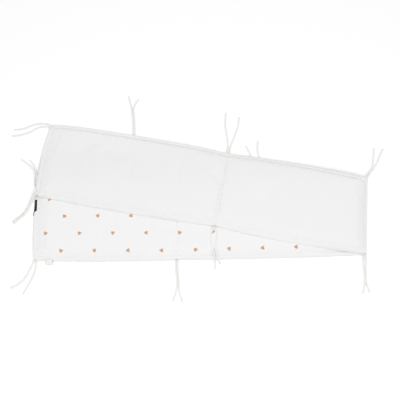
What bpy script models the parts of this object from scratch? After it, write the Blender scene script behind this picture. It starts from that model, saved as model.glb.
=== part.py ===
"""A padded bumper for a small bed, lying folded in two.

The strip is one filled pad with four crowned panels: long, short, long and short. It is folded over at
its middle seam, which lies at the right. The lower layer lies flat. The upper layer is turned away from
it like a fan, so that its far side comes down to the ground past the lower layer's far edge. A soft
binding is sewn round the whole strip, and pairs of narrow ties hang from the binding.

Metres, +Z up. The origin is at the bottom of the box round all but the ties, in the middle.
"""
import math

import bpy
import numpy as np

# The strip.
LONG_PANEL = 0.95
SHORT_PANEL = 0.75
STRIP_HEIGHT = 0.41  # across the strip, over both bindings
CORNER_RADIUS = 0.035
PAD_CROWN = 0.022  # thickness in the middle of a panel
PAD_EDGE = 0.007  # thickness where the pad is sewn to its binding, and at the fold
BINDING_WIDTH = 0.018
BINDING_THICKNESS = 0.008
TIE_DIAMETER = 0.007

# How the filling rises from what holds it down.
SIDE_REACH = 0.030  # from the binding to the full crown
SEAM_REACH = 0.018  # from a sewn channel to the full crown
FOLD_REACH = 0.050  # from the fold to the full crown
SEAM_DIP = 0.80  # share of the crown that a sewn channel takes away
NIP_DEPTH = 0.004  # how far a seam draws the long edges in
NIP_REACH = 0.016

# How the folded strip lies.
FOLD_LEAN = 4.7  # degrees that the fold leans to the right of straight away
FAN_HALF = 6.05  # degrees between the fold's square and each layer
LAYER_GAP = 0.003
SEAT_GAP = 0.0003
EDGE_LIFT = 0.0008  # the pad's sewn edge above what it lies on
FALL_REACH = 0.22  # how far past the lower layer the upper one takes to come down
END_SAG = 0.40  # share of the crown that the upper layer gives up over the lower one's free end
KINK_REACH = 0.05  # half the length over which a seam bends the strip sideways
SLANT_REACH = 0.30  # from the fold's slant to square cross lines
END_BOW_REACH = 0.25

# One row for each panel, from the fold to the free end: length as it lies, heading in degrees (how far
# it points nearer than straight left), and how far its near and far edges bow out.
LOWER_PANELS = (
    (LONG_PANEL + 0.020, 1.6, 0.004, 0.004),
    (SHORT_PANEL - 0.018, 0.3, 0.005, 0.005),
)
UPPER_PANELS = (
    (SHORT_PANEL + 0.003, -10.5, 0.014, 0.005),
    (LONG_PANEL - 0.004, -10.0, 0.014, 0.017),
)

# The free ends: how far the middle bows out, and how far the far corner leads the near one.
LOWER_END = (0.005, 0.006)
UPPER_END = (0.016, 0.018)

# Cross lines of the pad, as shares of the half width, and stations along each layer.
CROSS_SHARES = (-1.0, -0.968, -0.92, -0.84, -0.57, -0.28, 0.0, 0.28, 0.57, 0.84, 0.92, 0.968, 1.0)
FOLD_STATIONS = (0.0, 0.010, 0.022, 0.036, 0.052)
SEAM_STATIONS = (-0.045, -0.022, -0.010, 0.0, 0.010, 0.022, 0.045)
CORNER_ANGLES = (0.0, 22.0, 42.0, 60.0, 76.0, 90.0)
LONGEST_STEP = 0.11
ARC_STEPS = 4
BEND_ANGLES = np.linspace(-90.0, 90.0, ARC_STEPS + 1)[1:-1]

# The blank tabs. The black one lies over the binding of the lower layer's free end; each row gives y and
# the share of the binding's width at which its inner side lies. The white one sticks out of the near
# edge and droops to the ground; each pair gives the distance from the binding and the middle's height.
SIDE_TAB_ROWS = ((-0.032, 0.0), (-0.062, 0.0), (-0.090, 0.0), (-0.100, 0.35), (-0.122, 0.62))
SIDE_TAB_LIFT = 0.0007
SIDE_TAB_THICKNESS = 0.0010
EDGE_TAB_PLACE = (0.080, 0.114)  # its two ends, from the strip's left side
EDGE_TAB_DROOP = ((0.0003, 0.0043), (0.006, 0.0032), (0.012, 0.0014), (0.018, 0.0010))
EDGE_TAB_THICKNESS = 0.0014
NEAR_EDGE_RINGS = 14

# Each tie strand's route, from the binding to its bare end.
GROUND = 0.0038  # height of a strand's middle where it lies on the ground
LYING = 0.0268  # and where it lies on the lower layer
TIES = {
    "tie_upper_end_far_a": (
        (-0.7939, 0.3736, 0.0043), (-0.803, 0.3823, GROUND), (-0.820, 0.3893, GROUND),
        (-0.850, 0.3933, GROUND), (-0.885, 0.3903, GROUND), (-0.915, 0.3793, GROUND),
        (-0.943, 0.3673, GROUND), (-0.972, 0.3603, GROUND), (-1.001, 0.3563, GROUND)),
    "tie_upper_end_far_b": (
        (-0.8024, 0.3659, 0.0043), (-0.812, 0.3713, GROUND), (-0.830, 0.3758, GROUND),
        (-0.863, 0.3733, GROUND), (-0.885, 0.3633, GROUND), (-0.904, 0.3503, GROUND),
        (-0.930, 0.3383, GROUND), (-0.956, 0.3303, GROUND), (-0.985, 0.3243, GROUND),
        (-1.009, 0.3213, GROUND)),
    "tie_upper_long_far_a": (
        (-0.3656, 0.3228, 0.0043), (-0.3645, 0.3383, GROUND), (-0.3655, 0.3733, GROUND),
        (-0.3675, 0.4133, GROUND), (-0.372, 0.4483, GROUND), (-0.3765, 0.4783, GROUND),
        (-0.3845, 0.5133, GROUND), (-0.395, 0.5553, GROUND)),
    "tie_upper_long_far_b": (
        (-0.3570, 0.3214, 0.0043), (-0.3560, 0.3383, GROUND), (-0.357, 0.3733, GROUND),
        (-0.359, 0.4133, GROUND), (-0.3632, 0.4483, GROUND), (-0.366, 0.4783, GROUND),
        (-0.359, 0.5033, GROUND), (-0.340, 0.5343, GROUND)),
    "tie_upper_seam_far_a": (
        (0.1338, 0.2151, 0.0116), (0.135, 0.2303, 0.0100), (0.138, 0.2533, 0.0058),
        (0.140, 0.2803, GROUND), (0.136, 0.3183, GROUND), (0.131, 0.3533, GROUND),
        (0.127, 0.3783, GROUND), (0.128, 0.4133, GROUND), (0.132, 0.4543, GROUND)),
    "tie_upper_seam_far_b": (
        (0.1424, 0.2135, 0.0116), (0.146, 0.2303, 0.0100), (0.152, 0.2533, 0.0058),
        (0.160, 0.2803, GROUND), (0.171, 0.3083, GROUND), (0.182, 0.3383, GROUND),
        (0.193, 0.3683, GROUND), (0.199, 0.4003, GROUND), (0.202, 0.4313, GROUND)),
    "tie_fold_far_a": (
        (0.8568, 0.0797, 0.0142), (0.859, 0.0923, 0.0128), (0.868, 0.1063, 0.0104),
        (0.882, 0.1210, 0.0062), (0.892, 0.1363, GROUND), (0.900, 0.1583, GROUND),
        (0.905, 0.1833, GROUND), (0.910, 0.2183, GROUND), (0.914, 0.2533, GROUND)),
    "tie_fold_far_b": (
        (0.8613, 0.0798, 0.0056), (0.867, 0.0903, 0.0045), (0.878, 0.1043, GROUND),
        (0.893, 0.1233, GROUND), (0.910, 0.1463, GROUND), (0.925, 0.1733, GROUND),
        (0.941, 0.2083, GROUND), (0.951, 0.2283, GROUND), (0.961, 0.2473, GROUND)),
    "tie_fold_near_a": (
        (0.8296, -0.3259, 0.0122), (0.8305, -0.3417, 0.0092), (0.830, -0.3617, 0.0048),
        (0.829, -0.3867, GROUND), (0.827, -0.4137, 0.0056), (0.8245, -0.4367, 0.0110),
        (0.8215, -0.4547, 0.0122), (0.8175, -0.4727, 0.0096), (0.8135, -0.4917, 0.0052),
        (0.808, -0.5117, GROUND), (0.805, -0.5247, GROUND)),
    "tie_fold_near_b": (
        (0.8196, -0.3276, 0.0043), (0.8175, -0.3437, GROUND), (0.8165, -0.3717, GROUND),
        (0.8175, -0.4057, GROUND), (0.820, -0.4317, GROUND), (0.8235, -0.4547, GROUND),
        (0.829, -0.4817, GROUND), (0.835, -0.5037, GROUND), (0.840, -0.5217, GROUND)),
    "tie_upper_seam_near_a": (
        (0.0598, -0.1854, 0.0302), (0.0553, -0.1997, 0.0290), (0.050, -0.2237, 0.0272),
        (0.048, -0.2537, LYING), (0.053, -0.2837, 0.0270), (0.058, -0.3037, 0.0272),
        (0.061, -0.3177, 0.0256), (0.063, -0.3307, 0.0205), (0.0645, -0.3417, 0.0150),
        (0.066, -0.3527, 0.0112), (0.067, -0.3647, 0.0062), (0.068, -0.3817, GROUND),
        (0.069, -0.4007, GROUND)),
    "tie_upper_seam_near_b": (
        (0.0687, -0.1882, 0.0302), (0.0745, -0.2007, 0.0290), (0.079, -0.2197, 0.0272),
        (0.077, -0.2437, LYING), (0.073, -0.2697, LYING), (0.071, -0.2917, 0.0270),
        (0.0715, -0.3057, 0.0272), (0.0735, -0.3197, 0.0252), (0.077, -0.3317, 0.0200),
        (0.081, -0.3427, 0.0148), (0.086, -0.3537, 0.0108), (0.091, -0.3637, 0.0062),
        (0.095, -0.3737, GROUND)),
    "tie_lower_seam_near_a": (
        (-0.1288, -0.3529, 0.0043), (-0.1298, -0.3667, GROUND), (-0.1295, -0.3917, GROUND),
        (-0.1265, -0.4217, GROUND), (-0.1225, -0.4567, GROUND), (-0.1225, -0.4867, GROUND),
        (-0.128, -0.5167, GROUND), (-0.136, -0.5417, GROUND), (-0.142, -0.5627, GROUND)),
    "tie_lower_seam_near_b": (
        (-0.1200, -0.3520, 0.0043), (-0.1210, -0.3667, GROUND), (-0.1208, -0.3917, GROUND),
        (-0.118, -0.4217, GROUND), (-0.1137, -0.4567, GROUND), (-0.1132, -0.4867, GROUND),
        (-0.110, -0.5167, GROUND), (-0.103, -0.5437, GROUND), (-0.097, -0.5677, GROUND)),
    "tie_lower_end_near_a": (
        (-0.8455, -0.3509, 0.0043), (-0.850, -0.3597, GROUND), (-0.856, -0.3777, GROUND),
        (-0.865, -0.4017, GROUND), (-0.878, -0.4297, GROUND), (-0.894, -0.4537, GROUND),
        (-0.912, -0.4717, GROUND), (-0.934, -0.4857, GROUND), (-0.957, -0.4967, GROUND)),
    "tie_lower_end_near_b": (
        (-0.8348, -0.3575, 0.0043), (-0.836, -0.3687, GROUND), (-0.837, -0.3867, GROUND),
        (-0.840, -0.4117, GROUND), (-0.848, -0.4377, GROUND), (-0.858, -0.4617, GROUND),
        (-0.870, -0.4857, GROUND), (-0.881, -0.5067, GROUND), (-0.890, -0.5277, GROUND)),
    "tie_upper_end_near_a": (
        (-0.8546, 0.0031, 0.0280), (-0.861, 0.0003, 0.0268), (-0.869, -0.0067, 0.0215),
        (-0.878, -0.0187, 0.0128), (-0.886, -0.0337, 0.0062), (-0.893, -0.0517, GROUND),
        (-0.901, -0.0717, GROUND), (-0.912, -0.0937, GROUND), (-0.930, -0.1157, GROUND),
        (-0.952, -0.1347, GROUND), (-0.973, -0.1547, GROUND)),
    "tie_upper_end_near_b": (
        (-0.8510, -0.0091, 0.0283), (-0.858, -0.0127, 0.0268), (-0.8655, -0.0207, 0.0218),
        (-0.874, -0.0327, 0.0130), (-0.8795, -0.0467, 0.0062), (-0.885, -0.0627, GROUND),
        (-0.893, -0.0817, GROUND), (-0.904, -0.1017, GROUND), (-0.923, -0.1237, GROUND),
        (-0.945, -0.1427, GROUND), (-0.966, -0.1627, GROUND)),
    "tie_lower_end_far_a": (
        (-0.8605, 0.0350, 0.0043), (-0.868, 0.0433, GROUND), (-0.872, 0.0583, GROUND),
        (-0.873, 0.0833, GROUND), (-0.875, 0.1083, GROUND), (-0.883, 0.1303, GROUND),
        (-0.901, 0.1513, GROUND), (-0.926, 0.1713, GROUND), (-0.951, 0.1903, GROUND)),
    "tie_lower_end_far_b": (
        (-0.8530, 0.0434, 0.0043), (-0.858, 0.0523, GROUND), (-0.8625, 0.0643, GROUND),
        (-0.864, 0.0863, GROUND), (-0.866, 0.1113, GROUND), (-0.873, 0.1363, GROUND),
        (-0.884, 0.1563, GROUND), (-0.894, 0.1713, GROUND), (-0.904, 0.1853, GROUND)),
    "tie_lower_long_far_a": (
        (0.3455, 0.0733, 0.0043), (0.343, 0.0883, GROUND), (0.332, 0.1133, GROUND),
        (0.312, 0.1433, GROUND), (0.287, 0.1763, GROUND), (0.262, 0.2083, GROUND),
        (0.248, 0.2363, GROUND), (0.236, 0.2643, GROUND)),
    "tie_lower_long_far_b": (
        (0.3545, 0.0736, 0.0043), (0.353, 0.0883, GROUND), (0.345, 0.1163, GROUND),
        (0.330, 0.1503, GROUND), (0.312, 0.1863, GROUND), (0.299, 0.2203, GROUND),
        (0.296, 0.2533, GROUND), (0.300, 0.2923, GROUND)),
    "tie_lower_seam_far_a": (
        (-0.1358, 0.0541, 0.0043), (-0.137, 0.0663, GROUND), (-0.146, 0.0823, GROUND),
        (-0.165, 0.0943, GROUND), (-0.195, 0.1003, GROUND), (-0.225, 0.1013, GROUND),
        (-0.255, 0.1003, GROUND), (-0.280, 0.0983, GROUND), (-0.300, 0.0973, GROUND)),
    "tie_lower_seam_far_b": (
        (-0.1266, 0.0541, 0.0043), (-0.125, 0.0663, GROUND), (-0.116, 0.0823, GROUND),
        (-0.097, 0.0943, GROUND), (-0.067, 0.1013, GROUND), (-0.037, 0.1043, GROUND),
        (-0.010, 0.1053, GROUND), (0.015, 0.1053, GROUND), (0.036, 0.1043, GROUND)),
}
TIE_STEP = 2.5 * TIE_DIAMETER

WHITE_CLOTH = (0.90, 0.90, 0.89, 1.0)
BINDING_CLOTH = (0.87, 0.86, 0.84, 1.0)
TIE_CLOTH = (0.84, 0.82, 0.77, 1.0)
BLACK_CLOTH = (0.02, 0.02, 0.02, 1.0)


def smooth(t):
    """Smoothstep: 0 at 0, 1 at 1, level at both ends."""
    t = np.clip(t, 0.0, 1.0)
    return t * t * (3.0 - 2.0 * t)


def crown(t):
    """Rise of a filling from a sewn line at 0 to its full height at 1, steep at the sewn line."""
    t = np.clip(t, 0.0, 1.0)
    return 1.0 - (1.0 - t) ** 2


class Layer:
    """One half of the folded strip in plan: two panels, from the fold at 0 to the free end."""

    def __init__(self, panels, start, slant, end):
        self.panels = panels
        self.slant = slant
        self.end_bow, self.end_lead = end
        self.seam = panels[0][0]
        self.length = panels[0][0] + panels[1][0]
        self.pad_length = self.length - BINDING_WIDTH
        self.steps = np.linspace(0.0, self.length, 400)
        heading = self.heading(self.steps)
        step = self.steps[1] - self.steps[0]
        run_x = -np.cos(heading) * step
        run_y = -np.sin(heading) * step
        self.centre_x = start[0] + np.concatenate([[0.0], np.cumsum(run_x[:-1])])
        self.centre_y = start[1] + np.concatenate([[0.0], np.cumsum(run_y[:-1])])

    def heading(self, s):
        """Direction of the centre line in radians, bent smoothly at the seam."""
        turn = smooth((s - self.seam + KINK_REACH) / (2.0 * KINK_REACH))
        first, second = self.panels[0][1], self.panels[1][1]
        return np.radians(first + (second - first) * turn)

    def edge(self, s, side):
        """Distance from the centre line to the strip's outside: side is 2 for near, 3 for far."""
        first = s / self.seam
        second = (s - self.seam) / (self.length - self.seam)
        bow = np.where(first < 1.0, self.panels[0][side] * np.sin(math.pi * np.clip(first, 0.0, 1.0)),
                       self.panels[1][side] * np.sin(math.pi * np.clip(second, 0.0, 1.0)))
        nip = np.exp(-((s - self.seam) / NIP_REACH) ** 2) + np.exp(-(s / NIP_REACH) ** 2)
        return STRIP_HEIGHT / 2.0 + bow - NIP_DEPTH * nip

    def corner_cut(self, s):
        """How far the pad's round corner has drawn in at s."""
        radius = CORNER_RADIUS - BINDING_WIDTH
        past = np.clip(s - (self.length - CORNER_RADIUS), 0.0, radius)
        return radius - np.sqrt(np.maximum(radius ** 2 - past ** 2, 0.0))

    def plan(self, s, v):
        """Plan place of the pad at s along the layer and v across it, from -1 near to 1 far."""
        heading = self.heading(s)
        along = np.stack([-np.cos(heading), -np.sin(heading)], axis=-1)
        across = np.stack([-np.sin(heading), np.cos(heading)], axis=-1)
        inset = BINDING_WIDTH + SEAT_GAP + self.corner_cut(s)
        near = self.edge(s, 2) - inset
        far = self.edge(s, 3) - inset
        offset = (far - near) / 2.0 + v * (far + near) / 2.0
        slant = self.slant * (1.0 - smooth(s / SLANT_REACH))
        end = smooth((s - self.length + END_BOW_REACH) / END_BOW_REACH)
        forward = offset * slant + (self.end_bow * (1.0 - v ** 2) + self.end_lead * v / 2.0) * end
        centre = np.stack([np.interp(s, self.steps, self.centre_x),
                           np.interp(s, self.steps, self.centre_y)], axis=-1)
        return centre + across * offset[..., None] + along * forward[..., None]

    def thickness(self, s, v):
        """Thickness of the filled pad at s and v."""
        side = crown((1.0 - np.abs(v)) * STRIP_HEIGHT / 2.0 / SIDE_REACH)
        end = crown((self.pad_length - s) / SIDE_REACH)
        channel = 1.0 - SEAM_DIP * (1.0 - crown(np.abs(s - self.seam) / SEAM_REACH))
        fold = crown(s / FOLD_REACH)
        return PAD_EDGE + (PAD_CROWN - PAD_EDGE) * side * end * channel * fold

    def edge_lift(self, s, v):
        """How far the sewn rim lifts off what the layer lies on."""
        inside = np.minimum(1.0 - np.abs(v), (self.pad_length - s) / (STRIP_HEIGHT / 2.0))
        return EDGE_LIFT * (1.0 - np.clip(inside / 0.03, 0.0, 1.0))

    def stations(self):
        """Places along the layer, closer together at the fold, the seam and the round corners."""
        radius = CORNER_RADIUS - BINDING_WIDTH
        corner = self.length - CORNER_RADIUS + radius * np.sin(np.radians(CORNER_ANGLES))
        seam = self.seam + np.array(SEAM_STATIONS)
        near_end = self.pad_length - SIDE_REACH
        return np.concatenate([FOLD_STATIONS, between(FOLD_STATIONS[-1], seam[0]), seam,
                               between(seam[-1], near_end), [near_end], corner])


def between(start, end):
    """Even places strictly between start and end, none further apart than LONGEST_STEP."""
    count = math.ceil((end - start) / LONGEST_STEP)
    return np.linspace(start, end, count + 1)[1:-1]


def fold_direction():
    lean = math.radians(FOLD_LEAN)
    return np.array([math.sin(lean), math.cos(lean)])


def fold_outward():
    lean = math.radians(FOLD_LEAN)
    return np.array([math.cos(lean), -math.sin(lean)])


def drape_height(lower, place, s):
    """Height of the upper layer's underside over plan places that lie s from the fold.

    It keeps LAYER_GAP above the lower layer's crown, follows that crown down to the fold and to the
    near edge, sags over the free end, and comes down to the ground past the far edge.
    """
    x, y = place[..., 0], place[..., 1]
    below = np.interp(-x, -lower.centre_x, lower.steps)
    across = y - np.interp(below, lower.steps, lower.centre_y)
    near = lower.edge(below, 2) + across - BINDING_WIDTH
    far = lower.edge(below, 3) - across
    rise = crown(s / FOLD_REACH) * crown((near + 0.010) / (1.5 * SIDE_REACH))
    rise = rise * (1.0 - END_SAG * (1.0 - crown((lower.length - below) / (2.0 * SIDE_REACH))))
    full = LAYER_GAP + EDGE_LIFT + PAD_EDGE + (PAD_CROWN - PAD_EDGE) * rise
    fall = smooth((far + FALL_REACH) / (FALL_REACH + 0.04))
    return full * (1.0 - (1.0 - fall) * smooth(s / 0.10))


def grid(layer, s):
    """Plan places, and the s and v of each, for the stations s of a layer."""
    along, across = np.meshgrid(s, np.array(CROSS_SHARES), indexing="ij")
    return layer.plan(along, across), along, across


def with_height(place, z):
    return np.concatenate([place, z[..., None]], axis=-1)


def bend(low, high):
    """Half circles that join two rows of points, one above the other, round the fold's outside."""
    middle = (low + high) / 2.0
    radius = (high[:, 2] - low[:, 2]) / 2.0
    outward = np.array([*fold_outward(), 0.0])
    rows = []
    for angle in np.radians(BEND_ANGLES):
        lift = np.stack([np.zeros_like(radius), np.zeros_like(radius), radius], axis=-1)
        rows.append(middle + outward * (radius * math.cos(angle))[:, None] + lift * math.sin(angle))
    return np.array(rows)


def pad_skins():
    """The folded pad's outside and inside as grids of points, from the lower free end to the upper."""
    start = np.zeros(2)
    slant = math.tan(math.radians(FAN_HALF))
    lower = Layer(LOWER_PANELS, start, -slant, LOWER_END)
    upper = Layer(UPPER_PANELS, start, slant, UPPER_END)
    low_place, low_s, low_v = grid(lower, lower.stations())
    low_bottom = lower.edge_lift(low_s, low_v)
    low_top = low_bottom + lower.thickness(low_s, low_v)
    up_place, up_s, up_v = grid(upper, upper.stations())
    up_bottom = drape_height(lower, up_place, up_s)
    up_bottom = up_bottom + upper.edge_lift(up_s, up_v) * smooth(up_s / 0.10)
    up_top = up_bottom + upper.thickness(up_s, up_v)
    outside_low = with_height(low_place, low_bottom)[::-1]
    inside_low = with_height(low_place, low_top)[::-1]
    inside_up = with_height(up_place, up_bottom)
    outside_up = with_height(up_place, up_top)
    outside = np.concatenate([outside_low, bend(outside_low[-1], outside_up[0]), outside_up])
    inside = np.concatenate([inside_low, bend(inside_low[-1], inside_up[0]), inside_up])
    return outside, inside, len(outside_low)


def ring_of(skin):
    """The rim of a grid as one closed ring: near edge, upper end, far edge, lower end."""
    return np.concatenate([skin[:, 0], skin[-1, 1:-1], skin[::-1, -1], skin[0, -2:0:-1]])


def outward_ring(ring, near_fold, far_fold):
    """Level direction away from the pad at each point of its rim."""
    ahead = np.roll(ring, -1, axis=0) - ring
    behind = ring - np.roll(ring, 1, axis=0)
    ahead = ahead[:, :2] / np.linalg.norm(ahead[:, :2], axis=1, keepdims=True)
    behind = behind[:, :2] / np.linalg.norm(behind[:, :2], axis=1, keepdims=True)
    tangent = ahead + behind
    along = fold_direction()
    outward = np.stack([tangent[:, 1], -tangent[:, 0]], axis=-1)
    count = len(ring)
    middle = ring[:, :2].mean(axis=0)
    for index in range(count):
        if near_fold[0] <= index <= near_fold[1]:
            outward[index] = -along
        elif far_fold[0] <= index <= far_fold[1]:
            outward[index] = along
        elif outward[index] @ (ring[index, :2] - middle) < 0.0:
            outward[index] = -outward[index]
    return outward / np.linalg.norm(outward, axis=1, keepdims=True)


def binding_section():
    """Half of the binding's rounded section, as shares: out from the pad, and up from its middle."""
    return ((0.0, 0.80), (0.30, 1.0), (0.72, 0.92), (1.0, 0.38))


def binding_rings(outside, inside, low_count):
    """The binding's points, one closed section at each point of the pad's rim."""
    outer, inner = ring_of(outside), ring_of(inside)
    rows = len(outside)
    fold = (low_count - 1, low_count - 1 + ARC_STEPS)
    far = rows + outside.shape[1] - 2
    far_fold = (far + rows - 1 - fold[1], far + rows - 1 - fold[0])
    middle = (outer + inner) / 2.0
    thick = outer - inner
    thick = thick / np.linalg.norm(thick, axis=1, keepdims=True)
    level = outward_ring(middle, fold, far_fold)
    out = np.concatenate([level, np.zeros((len(level), 1))], axis=1)
    half = BINDING_THICKNESS / 2.0
    upper_half = [(share * BINDING_WIDTH + SEAT_GAP, rise * half) for share, rise in binding_section()]
    lower_half = [(away, -rise) for away, rise in reversed(upper_half)]
    return np.stack([middle + out * away + thick * rise for away, rise in upper_half + lower_half], axis=1)


def add_object(name, points, faces, colour, roughness):
    """A closed mesh with its faces pointing out, and its own material."""
    mesh = bpy.data.meshes.new(name)
    mesh.from_pydata([tuple(point) for point in points], [], faces)
    mesh.validate()
    if signed_volume(mesh) < 0.0:
        mesh.flip_normals()
    mesh.shade_smooth()
    mesh.set_sharp_from_angle(angle=math.radians(50.0))
    mesh.materials.append(cloth(name + "_cloth", colour, roughness))
    made = bpy.data.objects.new(name, mesh)
    bpy.context.scene.collection.objects.link(made)
    return made


def signed_volume(mesh):
    mesh.calc_loop_triangles()
    total = 0.0
    for triangle in mesh.loop_triangles:
        a, b, c = (mesh.vertices[index].co for index in triangle.vertices)
        total += a.dot(b.cross(c)) / 6.0
    return total


def cloth(name, colour, roughness):
    material = bpy.data.materials.new(name)
    material.use_nodes = True
    shader = material.node_tree.nodes["Principled BSDF"]
    shader.inputs["Base Color"].default_value = colour
    shader.inputs["Roughness"].default_value = roughness
    shader.inputs["Metallic"].default_value = 0.0
    return material


def strip_of_quads(first, second):
    """Faces between two rows of point numbers."""
    return [(first[k], first[k + 1], second[k + 1], second[k]) for k in range(len(first) - 1)]


def add_between_skins(name, first, second, colour, roughness):
    """One closed solid between two matching grids of points, joined round their rim."""
    rows, columns = first.shape[:2]
    number = np.arange(rows * columns).reshape(rows, columns)
    shift = rows * columns
    faces = []
    for row in range(rows - 1):
        faces += strip_of_quads(list(number[row]), list(number[row + 1]))
        faces += strip_of_quads(list(number[row + 1] + shift), list(number[row] + shift))
    rim = list(ring_of(number[..., None])[:, 0])
    rim.append(rim[0])
    faces += strip_of_quads(rim, [index + shift for index in rim])
    points = np.concatenate([first.reshape(-1, 3), second.reshape(-1, 3)])
    faces = [tuple(int(index) for index in face) for face in faces]
    return add_object(name, points, faces, colour, roughness)


def add_binding(rings):
    """One closed loop of rounded sections."""
    count, sides = rings.shape[:2]
    faces = []
    for row in range(count):
        following = (row + 1) % count
        for side in range(sides):
            turn = (side + 1) % sides
            faces.append((row * sides + side, row * sides + turn,
                          following * sides + turn, following * sides + side))
    return add_object("edge_binding", rings.reshape(-1, 3), faces, BINDING_CLOTH, 0.9)


def smooth_route(route):
    """Evenly spaced points on a smooth curve through a route's own points (Catmull and Rom's)."""
    points = np.array(route)
    padded = np.vstack([2.0 * points[0] - points[1], points, 2.0 * points[-1] - points[-2]])
    t = np.linspace(0.0, 1.0, 20, endpoint=False)[:, None]
    fine = []
    for a, b, c, d in zip(padded[:-3], padded[1:-2], padded[2:-1], padded[3:]):
        fine.append(b + 0.5 * t * (c - a + t * (2 * a - 5 * b + 4 * c - d + t * (3 * (b - c) + d - a))))
    fine = np.vstack([*fine, points[-1:]])
    length = np.concatenate([[0.0], np.cumsum(np.linalg.norm(np.diff(fine, axis=0), axis=1))])
    even = np.linspace(0.0, length[-1], math.ceil(length[-1] / TIE_STEP) + 1)
    return np.stack([np.interp(even, length, fine[:, axis]) for axis in range(3)], axis=-1)


def add_tie(name, route):
    """One strand of a tie as a plain tube along its route."""
    points = smooth_route(route)
    curve = bpy.data.curves.new(name, "CURVE")
    curve.dimensions = "3D"
    curve.bevel_depth = TIE_DIAMETER / 2.0
    curve.bevel_resolution = 2
    curve.use_fill_caps = True
    spline = curve.splines.new("POLY")
    spline.points.add(len(points) - 1)
    for place, point in zip(spline.points, points):
        place.co = (*point, 1.0)
    curve.materials.append(cloth(name + "_cloth", TIE_CLOTH, 0.9))
    made = bpy.data.objects.new(name, curve)
    bpy.context.scene.collection.objects.link(made)
    return made


def add_side_tab(end):
    """The black tab over the binding of the free end, whose sections run here from far to near."""
    shares = [share for share, _ in binding_section()]
    upper = end[::-1, ::-1][:, :len(shares)]  # the lower layer's outside is its underside
    rows = []
    for y, inner in SIDE_TAB_ROWS:
        across = [[np.interp(y, side[:, 1], side[:, axis]) for axis in range(3)]
                  for side in upper.transpose(1, 0, 2)]
        wanted = np.linspace(inner, 1.0, len(shares))
        rows.append(np.stack([np.interp(wanted, shares, axis) for axis in np.transpose(across)], axis=-1))
    low = np.array(rows) + np.array([0.0, 0.0, SIDE_TAB_LIFT])
    high = low + np.array([0.0, 0.0, SIDE_TAB_THICKNESS])
    return add_between_skins("side_tab", low, high, BLACK_CLOTH, 0.8)


def edge_tab_middle(rings):
    """Middle surface of the white doubled tab, from the near edge out and down to the ground."""
    left = rings[..., 0].min()
    outermost = rings[:NEAR_EDGE_RINGS, len(binding_section()) - 1]
    rows = []
    for x in left + np.linspace(*EDGE_TAB_PLACE, 3):
        edge_y = np.interp(x, outermost[:, 0], outermost[:, 1])
        rows.append([(x, edge_y - away, middle) for away, middle in EDGE_TAB_DROOP])
    return np.array(rows)


def add_edge_tab(middle):
    half = np.array([0.0, 0.0, EDGE_TAB_THICKNESS / 2.0])
    return add_between_skins("edge_tab", middle - half, middle + half, WHITE_CLOTH, 0.9)


def remove_everything():
    for item in list(bpy.data.objects):
        bpy.data.objects.remove(item, do_unlink=True)


def main():
    remove_everything()
    outside, inside, low_count = pad_skins()
    rings = binding_rings(outside, inside, low_count)
    edge_tab = edge_tab_middle(rings)
    outline = np.concatenate([rings.reshape(-1, 3), edge_tab.reshape(-1, 3)])
    middle = (outline.min(axis=0) + outline.max(axis=0)) / 2.0
    shift = np.array([-middle[0], -middle[1], 0.0])
    add_between_skins("pad", outside + shift, inside + shift, WHITE_CLOTH, 0.95)
    add_binding(rings + shift)
    add_side_tab((rings + shift)[1 - len(CROSS_SHARES):])
    add_edge_tab(edge_tab + shift)
    for name, route in TIES.items():
        add_tie(name, route)


main()
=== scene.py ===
# %% [markdown]
# # A padded bed bumper, lying folded in two
#
# The object is a long quilted strip: four filled panels with a sewn channel between each two, a
# soft tape sewn round the whole edge, and pairs of narrow ties. It lies folded over at its middle seam.
# This file dresses the plain model with surfaces that are worked out with numpy, and with
# materials made of nodes. Each cell says first what it makes, and why it makes it that way.

# %% Load the plain model
import math

import bpy
import numpy as np
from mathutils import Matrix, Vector


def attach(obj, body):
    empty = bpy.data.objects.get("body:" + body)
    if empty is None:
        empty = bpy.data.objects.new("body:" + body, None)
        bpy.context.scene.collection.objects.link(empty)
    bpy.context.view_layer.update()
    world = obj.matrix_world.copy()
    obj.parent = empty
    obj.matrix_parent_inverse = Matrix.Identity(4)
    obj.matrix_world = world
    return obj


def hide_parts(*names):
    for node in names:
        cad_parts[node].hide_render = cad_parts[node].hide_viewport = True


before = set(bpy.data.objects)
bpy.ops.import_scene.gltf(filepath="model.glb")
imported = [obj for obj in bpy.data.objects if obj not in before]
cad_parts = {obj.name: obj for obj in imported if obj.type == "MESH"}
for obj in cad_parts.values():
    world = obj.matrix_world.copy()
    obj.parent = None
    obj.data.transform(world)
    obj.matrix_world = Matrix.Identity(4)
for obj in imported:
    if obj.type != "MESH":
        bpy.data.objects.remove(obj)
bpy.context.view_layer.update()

# %% [markdown]
# ## The camera
#
# The camera comes first, because the picture decides how much detail each piece needs. It looks down
# steeply from the near side, a little under four metres away, with a long lens. A long lens far away
# keeps the long edges nearly parallel, as they are in the picture. One pixel is about five millimetres.

# %% The camera
LOOK_AT = Vector((-0.0077, -0.0348, 0.0))
CAMERA_PLACE = Vector((-0.0077, -1.2046, 3.7100))


def add_object(name, data):
    """An object in the scene, at the origin."""
    made = bpy.data.objects.new(name, data)
    bpy.context.scene.collection.objects.link(made)
    return made


def add_aimed(name, data, place, target):
    """An object at a place, turned to look at its target."""
    made = add_object(name, data)
    made.location = place
    made.rotation_euler = (target - place).to_track_quat("-Z", "Y").to_euler()
    return made


camera_data = bpy.data.cameras.new("camera")
camera_data.sensor_width = 36.0
camera_data.lens = 67.5
bpy.context.scene.camera = add_aimed("camera", camera_data, CAMERA_PLACE, LOOK_AT)
print("The camera is", round((CAMERA_PLACE - LOOK_AT).length, 2), "metres from what it looks at")

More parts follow.
